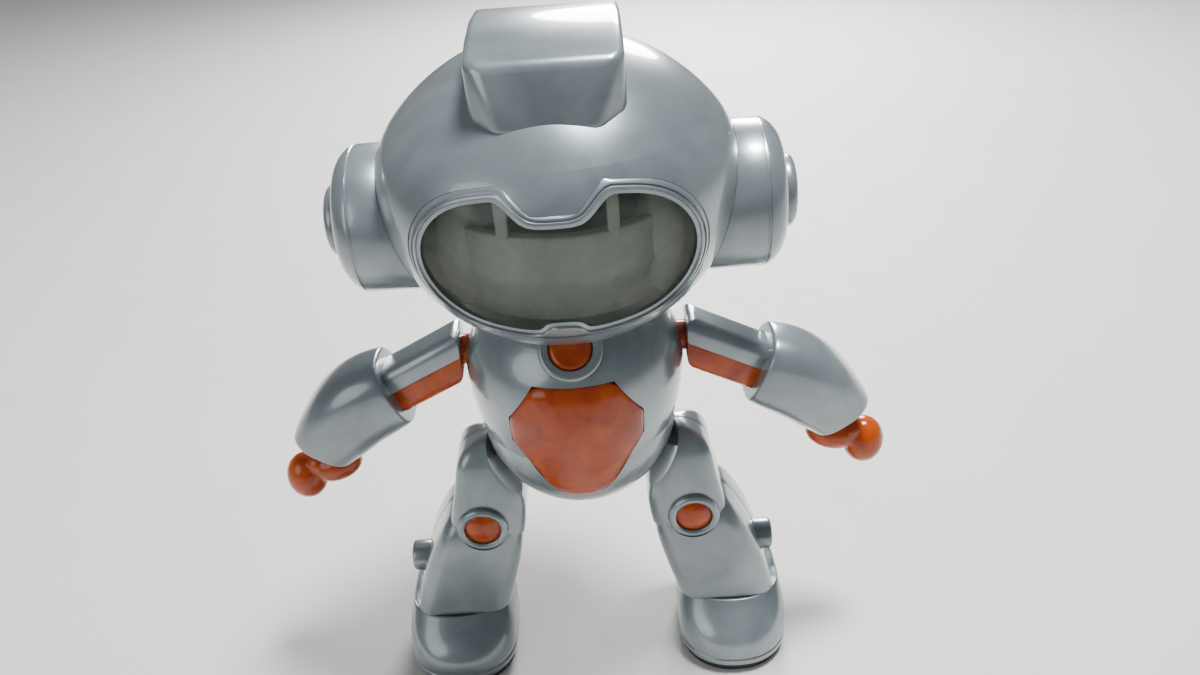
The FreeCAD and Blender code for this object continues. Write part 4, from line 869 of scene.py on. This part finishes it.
class RobotArms(bpy.types.Operator):
    """Upper arm covers, orange arm cores with their hands, and the hollow cuffs"""
    bl_idname = "robot.arms"
    bl_label = "Arms"

    def execute(self, context):
        size = sizes()
        # In mm: half depths of the cover and of the core in it, gap in the joint line, small rounding.
        cover_deep, core_deep, joint_gap, fine = 3.3, 3.12, 0.03, 0.18
        cover = arm_bar("cover", size.arm_split, size.arm_half, cover_deep, size.arm_half)
        soften(cover, fine, angle=40, segments=2)
        place_pair("upper_arm_cover_round", cover, "arm", PEARL, "upper_arm_cover")
        core = arm_bar("core", -size.arm_half, size.arm_split - joint_gap, core_deep, -size.arm_half)
        soften(core, fine, angle=40, segments=2)
        place_pair("arm_core_hand", join([core, self.peg(size), self.hand()]), "arm", AMBER, "arm_core")
        place_pair("forearm_cuff_hollow", self.cuff(size), "arm", PEARL, "forearm_cuff")
        return {"FINISHED"}

    def peg(self, size):
        """Peg with the flange that keeps it in the torso, run a little way into the bar."""
        start = CORE_LOW.x
        flange, step, end = mm(size.peg + 0.7), mm(1.1), COVER_LOW.x + mm(0.5)
        outline = [(start, 0), (end, 0), (end, mm(size.peg)), (start + step, mm(size.peg)),
                   (start + step, flange), (start, flange)]
        peg = about_x("peg", outline, 0, SHOULDER_Z, 48)
        soften(peg, 0.15, angle=40, segments=2)
        return peg

    def hand(self):
        """Two rounded lobes and a wrist, melted into one moulding."""
        elbow = arm_place(sizes().arm_length, 0) * 1000
        # Middle of each lobe from the elbow, its half sizes, and its turn about y in degrees.
        lobes = (((10.6, 0, -13.2), (4.2, 3.0, 2.7), 12), ((15.4, 0, -15.1), (3.1, 3.0, 3.9), 0),
                 ((13.0, -0.3, -12.4), (2.0, 2.1, 1.7), 0), ((9.6, 0, -9.6), (2.3, 2.2, 3.4), 0))
        hand = join([lobe((elbow + Vector(offset)) * 0.001, half, lean) for offset, half, lean in lobes])
        modify(hand, "REMESH", mode="VOXEL", voxel_size=mm(0.2))
        modify(hand, "SMOOTH", factor=0.5, iterations=6)
        return hand

    def cuff(self, size):
        elbow = arm_place(size.arm_length, 0) * 1000

        def ring(out, down, half, lean, back=0.0):
            """Ring at a place from the elbow, moved back along its own direction."""
            ahead = Vector((math.cos(math.radians(lean)), 0, -math.sin(math.radians(lean))))
            return elbow + Vector((out, 0, -down)) - ahead * back, half, half * 0.96, 90 + lean

        # Half sizes and moves back: the rolled mouth over the bar and the rolled, hollow one over the wrist.
        mouth = ((3.6, 0.0), (5.3, 0.0), (5.62, -0.15), (5.8, -0.5))
        wrist = ((5.05, 0.5), (4.95, 0.12), (4.75, 0.0), (4.3, 0.0), (4.1, 0.15), (4.1, 2.6))
        rings = [ring(-1.2, -0.6, half, 22, back) for half, back in mouth]
        rings += [ring(1.2, 0.35, 6.15, 25), ring(3.6, 1.5, 6.3, 28), ring(6.0, 3.2, 6.2, 35),
                  ring(7.8, 5.0, 5.95, 41), ring(9.8, 7.2, 5.4, 49)]
        rings += [ring(11.3, 9.2, half, 55, back) for half, back in wrist]
        cuff = loft("cuff", rings, 2.7)
        subdivide(cuff)
        return cuff


# ---- legs and boots

class RobotLegs(bpy.types.Operator):
    """Boxy thighs and shins, moulded in a front and a rear half"""
    bl_idname = "robot.legs"
    bl_label = "Legs"

    def execute(self, context):
        size = sizes()
        hip, knee, hem = HIP_Z * 1000, (KNEE_LOW.z + KNEE_HIGH.z) * 500, LEG_LOW.z * 1000
        # Height, middle beyond the belly ball, half width, half depth.
        thigh = ((hip + 2.6, 0.2, 0.6, 1.0), (hip + 2.3, 0.5, 1.3, 2.3), (hip + 1.4, 1.0, 2.3, 3.7),
                 (hip + 0.2, 1.4, 3.0, 4.6), (hip - 1.5, 1.6, 3.5, 5.2),
                 (hip - 5.0, 0.7, 4.9, 5.9), (hip - 8.4, 0.6, 5.9, 6.4), (knee - 2.2, 1.6, 6.0, 6.5),
                 (knee - 3.4, 1.8, 6.0, 6.5))
        shin = ((knee + 1.6, 1.7, 4.0, 4.2), (knee + 0.9, 1.9, 5.2, 5.4), (knee - 0.6, 2.2, 6.1, 6.35),
                (knee - 2.8, 2.75, 6.8, 7.05),
                (knee - 4.8, 3.4, 7.2, 7.25), (knee - 7.8, 4.4, 7.6, 7.35), (hem + 3.8, 6.2, 7.75, 7.5),
                (hem + 1.0, 6.9, 7.65, 7.5), (hem, 7.2, 7.6, 7.5), (hem, 7.2, 7.0, 6.9))
        parts = []
        for name, rows, corner in (("thigh", thigh, 0.32), ("shin", shin, 1.6)):
            rings = [((size.ball_radius + out, 0, z), wide, deep, 0) for z, out, wide, deep in rows]
            parts.append(loft(name, rings, corner, 5))
        leg, lower = parts
        for part in (leg, lower):
            subdivide(part)
        cut(leg, lower, "UNION")
        self.clear_belly(leg, size)
        # Round seat for the knee ring, 0.04 mm wider than it and open to the front.
        centre, depth = (KNEE_LOW + KNEE_HIGH) / 2, mm(20)
        bpy.ops.mesh.primitive_cylinder_add(vertices=64, radius=(KNEE_HIGH.x - KNEE_LOW.x) / 2 + mm(0.04),
                                            depth=depth, rotation=(math.pi / 2, 0, 0),
                                            location=(centre.x, KNEE_HIGH.y - depth / 2, centre.z))
        cut(leg, bpy.context.object)
        for half, facing in (("front", 1), ("rear", -1)):
            shell = leg.copy()
            shell.data = leg.data.copy()
            context.scene.collection.objects.link(shell)
            enter(shell)
            bpy.ops.mesh.bisect(plane_co=(0, 0, 0), plane_no=(0, facing, 0), use_fill=True, clear_outer=True)
            tidy_mesh()
            bevel_edges(shell, lambda point: abs(point.y) < mm(0.004), size.seam, 2)
            place_pair("leg_%s_boxy" % half, shell, "leg", PEARL, "leg_%s_shell" % half)
        bpy.data.objects.remove(leg)
        return {"FINISHED"}

    def clear_belly(self, leg, size):
        """Hollow the inner side so that it passes the belly ball as the leg swings."""
        rise = size.ball_bottom + TORSO_LOW.z * 1000 - HIP_Z * 1000
        for step in range(-2, 3):
            angle = step * size.hip_swing / 2
            begin()
            bpy.ops.mesh.primitive_uv_sphere_add(
                segments=96, ring_count=64, radius=mm(size.ball_radius + size.moving_gap),
                location=(0, mm(rise * math.sin(angle)), HIP_Z + mm(rise * math.cos(angle))))
            cut(leg, bpy.context.object)


class RobotKnees(bpy.types.Operator):
    """Knee rings, knee lenses and the discs on the shins"""
    bl_idname = "robot.knees"
    bl_label = "Knees and shin discs"

    def execute(self, context):
        size = sizes()
        centre = (KNEE_LOW + KNEE_HIGH) / 2
        outer, bore = (KNEE_HIGH.x - KNEE_LOW.x) / 2, (KNEE_LENS_HIGH.x - KNEE_LENS_LOW.x) / 2
        front, back = KNEE_LOW.y, KNEE_HIGH.y
        # In mm: gap round the lens, arc over the ring and its falls inside and outside.
        gap, ring_arc, inner_fall, outer_fall = mm(0.03), mm(0.95), mm(0.25), mm(0.35)
        # In mm: fall of the lens from its middle to its edge, and its arc.
        lens_fall, lens_arc, dome = mm(0.9), mm(4.82), KNEE_LENS_LOW.y
        ring = [(bore + gap, back), (bore + gap, front + inner_fall)]
        ring += arc(ring[-1], ((bore + gap + outer) / 2, front), ring_arc, 5)
        ring += arc(ring[-1], (outer, front + outer_fall), ring_arc, 5) + [(outer, back)]
        lens = [(0, back), (0, dome)]
        lens += arc(lens[-1], (bore, dome + lens_fall), lens_arc, 10) + [(bore, back)]
        for name, outline, slot, node in (("knee_ring_round", ring, PEARL, "knee_ring"),
                                          ("knee_lens_domed", lens, AMBER, "knee_lens")):
            points = [(centre.x + out, y, centre.z) for out, y in outline]
            place_pair(name, turned(name, points, ALONG_Y, centre, steps=64), "leg", slot, node)
        centre = (DISC_LOW + DISC_HIGH) / 2
        rim, face = (DISC_HIGH.z - DISC_LOW.z) / 2, DISC_HIGH.x
        # The disc's dish, with its slope between 0.45 and 0.55 of the radius, and its rounded edge.
        dish, edge = mm(0.2), mm(0.6)
        outline = [(DISC_LOW.x, 0), (face - dish, 0), (face - dish, rim * 0.45)]
        outline += [(face, rim * 0.55), (face, rim - edge)]
        outline += arc(outline[-1], (face - edge, rim), edge, 5) + [(DISC_LOW.x, rim)]
        disc = about_x("disc", outline, centre.y, centre.z, 64)
        soften(disc, 0.12, angle=35, segments=2)
        place_pair("shin_disc_dished", disc, "leg", PEARL, "shin_disc")
        return {"FINISHED"}


class RobotBoots(bpy.types.Operator):
    """Round-toed boots with a welt line and a collar, and their soles"""
    bl_idname = "robot.boots"
    bl_label = "Boots"

    def execute(self, context):
        size = sizes()
        x, base, collar = (SOLE_LOW.x + SOLE_HIGH.x) * 500, BOOT_LOW.z * 1000, LEG_LOW.z * 1000
        # Height above the base, half width and half length of the welt and the line round it.
        welt = ((0, 8.1, 10.8), (0.02, 8.45, 11.15), (0.35, 8.65, 11.35), (1.1, 8.72, 11.42),
                (1.35, 8.66, 11.36), (1.45, 8.5, 11.2), (1.65, 8.5, 11.2), (1.75, 8.66, 11.36),
                (2.3, 8.75, 11.42))
        rows = [(base + up, -2.4, wide, long) for up, wide, long in welt]
        # Height, middle from front to back, half width and half length of the toe and the collar.
        rows += [(base + 4.2, -2.2, 8.75, 11.2), (base + 6.1, -1.75, 8.6, 10.4),
                 (collar - 1.2, -0.95, 8.35, 9.1), (collar - 0.1, -0.35, 8.05, 8.25),
                 (collar + 0.28, -0.2, 7.88, 7.95), (collar + 0.32, -0.15, 7.72, 7.8),
                 (collar + 0.15, -0.1, 7.55, 7.6), (collar - 0.12, -0.05, 6.9, 7.0),
                 (collar - 0.15, 0.0, 6.2, 6.3)]
        rings = [((x, y, z), wide, long, 0) for z, y, wide, long in rows]
        boot = loft("boot", rings, size.boot_corner, 6)
        subdivide(boot)
        place_pair("boot_round", boot, "leg", PEARL, "boot")
        middle = (SOLE_LOW + SOLE_HIGH) / 2 * 1000
        half, long = (SOLE_HIGH.x - SOLE_LOW.x) * 500, (SOLE_HIGH.y - SOLE_LOW.y) * 500
        top = SOLE_HIGH.z * 1000
        # Height and inset of the plate's edge, rounded below.
        rows = ((0.0, 0.45), (0.0, 0.2), (0.15, 0.0), (0.7, 0.0), (top - 0.1, 0.0), (top, 0.1))
        rings = [((middle.x, middle.y, z), half - inset, long - inset, 0) for z, inset in rows]
        sole = loft("sole", rings, size.boot_corner, 12)
        # The sole's dark plastic is painted shade along the underside of the boot.
        place_pair("boot_sole_plate", sole, "leg", "dark_peg_plastic", "boot_sole")
        return {"FINISHED"}


# ---- stage

class RobotStage(bpy.types.Operator):
    """Pale floor, soft lights and the camera"""
    bl_idname = "robot.stage"
    bl_label = "Stage"

    def execute(self, context):
        begin()
        bpy.ops.mesh.primitive_plane_add(size=4.0)
        floor = bpy.context.object
        floor.name = "floor"
        floor.data.materials.append(bpy.data.materials["studio_paper"])
        world = bpy.data.worlds.new("soft_room")
        world.use_nodes = True
        sky = world.node_tree.nodes["Background"].inputs
        sky["Color"].default_value = linear("#dfe4ea")
        sky["Strength"].default_value = 0.3
        context.scene.world = world
        middle = (CAD_BOX[0] + CAD_BOX[1]) / 2
        # Name, place from the middle and size in metres, and power in watts.
        lamps = (("key", (0.09, 0.02, 0.40), 0.1, 3.8), ("fill", (-0.38, -0.34, 0.22), 0.4, 0.8),
                 ("back", (0.07, 0.42, 0.17), 0.2, 4.0))
        for name, offset, wide, power in lamps:
            lamp = bpy.data.lights.new(name, "AREA")
            lamp.shape = "DISK"
            lamp.size = wide
            lamp.energy = power
            holder = bpy.data.objects.new(name, lamp)
            holder.location = middle + Vector(offset)
            holder.visible_camera = False
            holder.rotation_euler = (-Vector(offset)).to_track_quat("-Z", "Y").to_euler()
            context.scene.collection.objects.link(holder)
        self.camera(context)
        return {"FINISHED"}

    def camera(self, context):
        """Close above the head, looking down, with the picture leaning a little."""
        pitch, yaw, roll = math.radians(31.94), math.radians(-0.85), math.radians(4.26)
        look = Vector((math.sin(yaw) * math.cos(pitch), math.cos(yaw) * math.cos(pitch), -math.sin(pitch)))
        camera = bpy.data.objects.new("camera", bpy.data.cameras.new("camera"))
        camera.data.lens = 30.0
        camera.data.sensor_width = 36.0
        camera.data.clip_start = 0.005
        # About 13 cm from the head, in mm.
        camera.location = Vector((5.59, -121.6, 132.47)) * 0.001
        camera.rotation_mode = "QUATERNION"
        camera.rotation_quaternion = Quaternion(look, roll) @ look.to_track_quat("-Z", "Y")
        context.scene.collection.objects.link(camera)
        context.scene.camera = camera


# ---- add-on

STEPS = (RobotFinishes, RobotHead, RobotFace, RobotEars, RobotBelly, RobotArms, RobotLegs, RobotKnees,
         RobotBoots, RobotStage)


class RobotPanel(bpy.types.Panel):
    """Sidebar panel with the robot's pieces, sizes and colours"""
    bl_idname = "VIEW3D_PT_toy_robot"
    bl_label = "Toy Robot"
    bl_space_type = "VIEW_3D"
    bl_region_type = "UI"
    bl_category = "Toy Robot"

    def draw(self, context):
        for step in STEPS:
            self.layout.operator(step.bl_idname)
        for group in (context.scene.robot_sizes, context.scene.robot_colours):
            box = self.layout.box()
            for name in group.__annotations__:
                box.prop(group, name)


CLASSES = (RobotSizes, RobotColours) + STEPS + (RobotPanel,)


def register():
    for cls in CLASSES:
        bpy.utils.register_class(cls)
    bpy.types.Scene.robot_sizes = bpy.props.PointerProperty(type=RobotSizes)
    bpy.types.Scene.robot_colours = bpy.props.PointerProperty(type=RobotColours)


def unregister():
    del bpy.types.Scene.robot_colours
    del bpy.types.Scene.robot_sizes
    for cls in reversed(CLASSES):
        bpy.utils.unregister_class(cls)


def main():
    register()
    for step in STEPS:
        family, name = step.bl_idname.split(".")
        getattr(getattr(bpy.ops, family), name)()


if __name__ == "__main__":
    main()
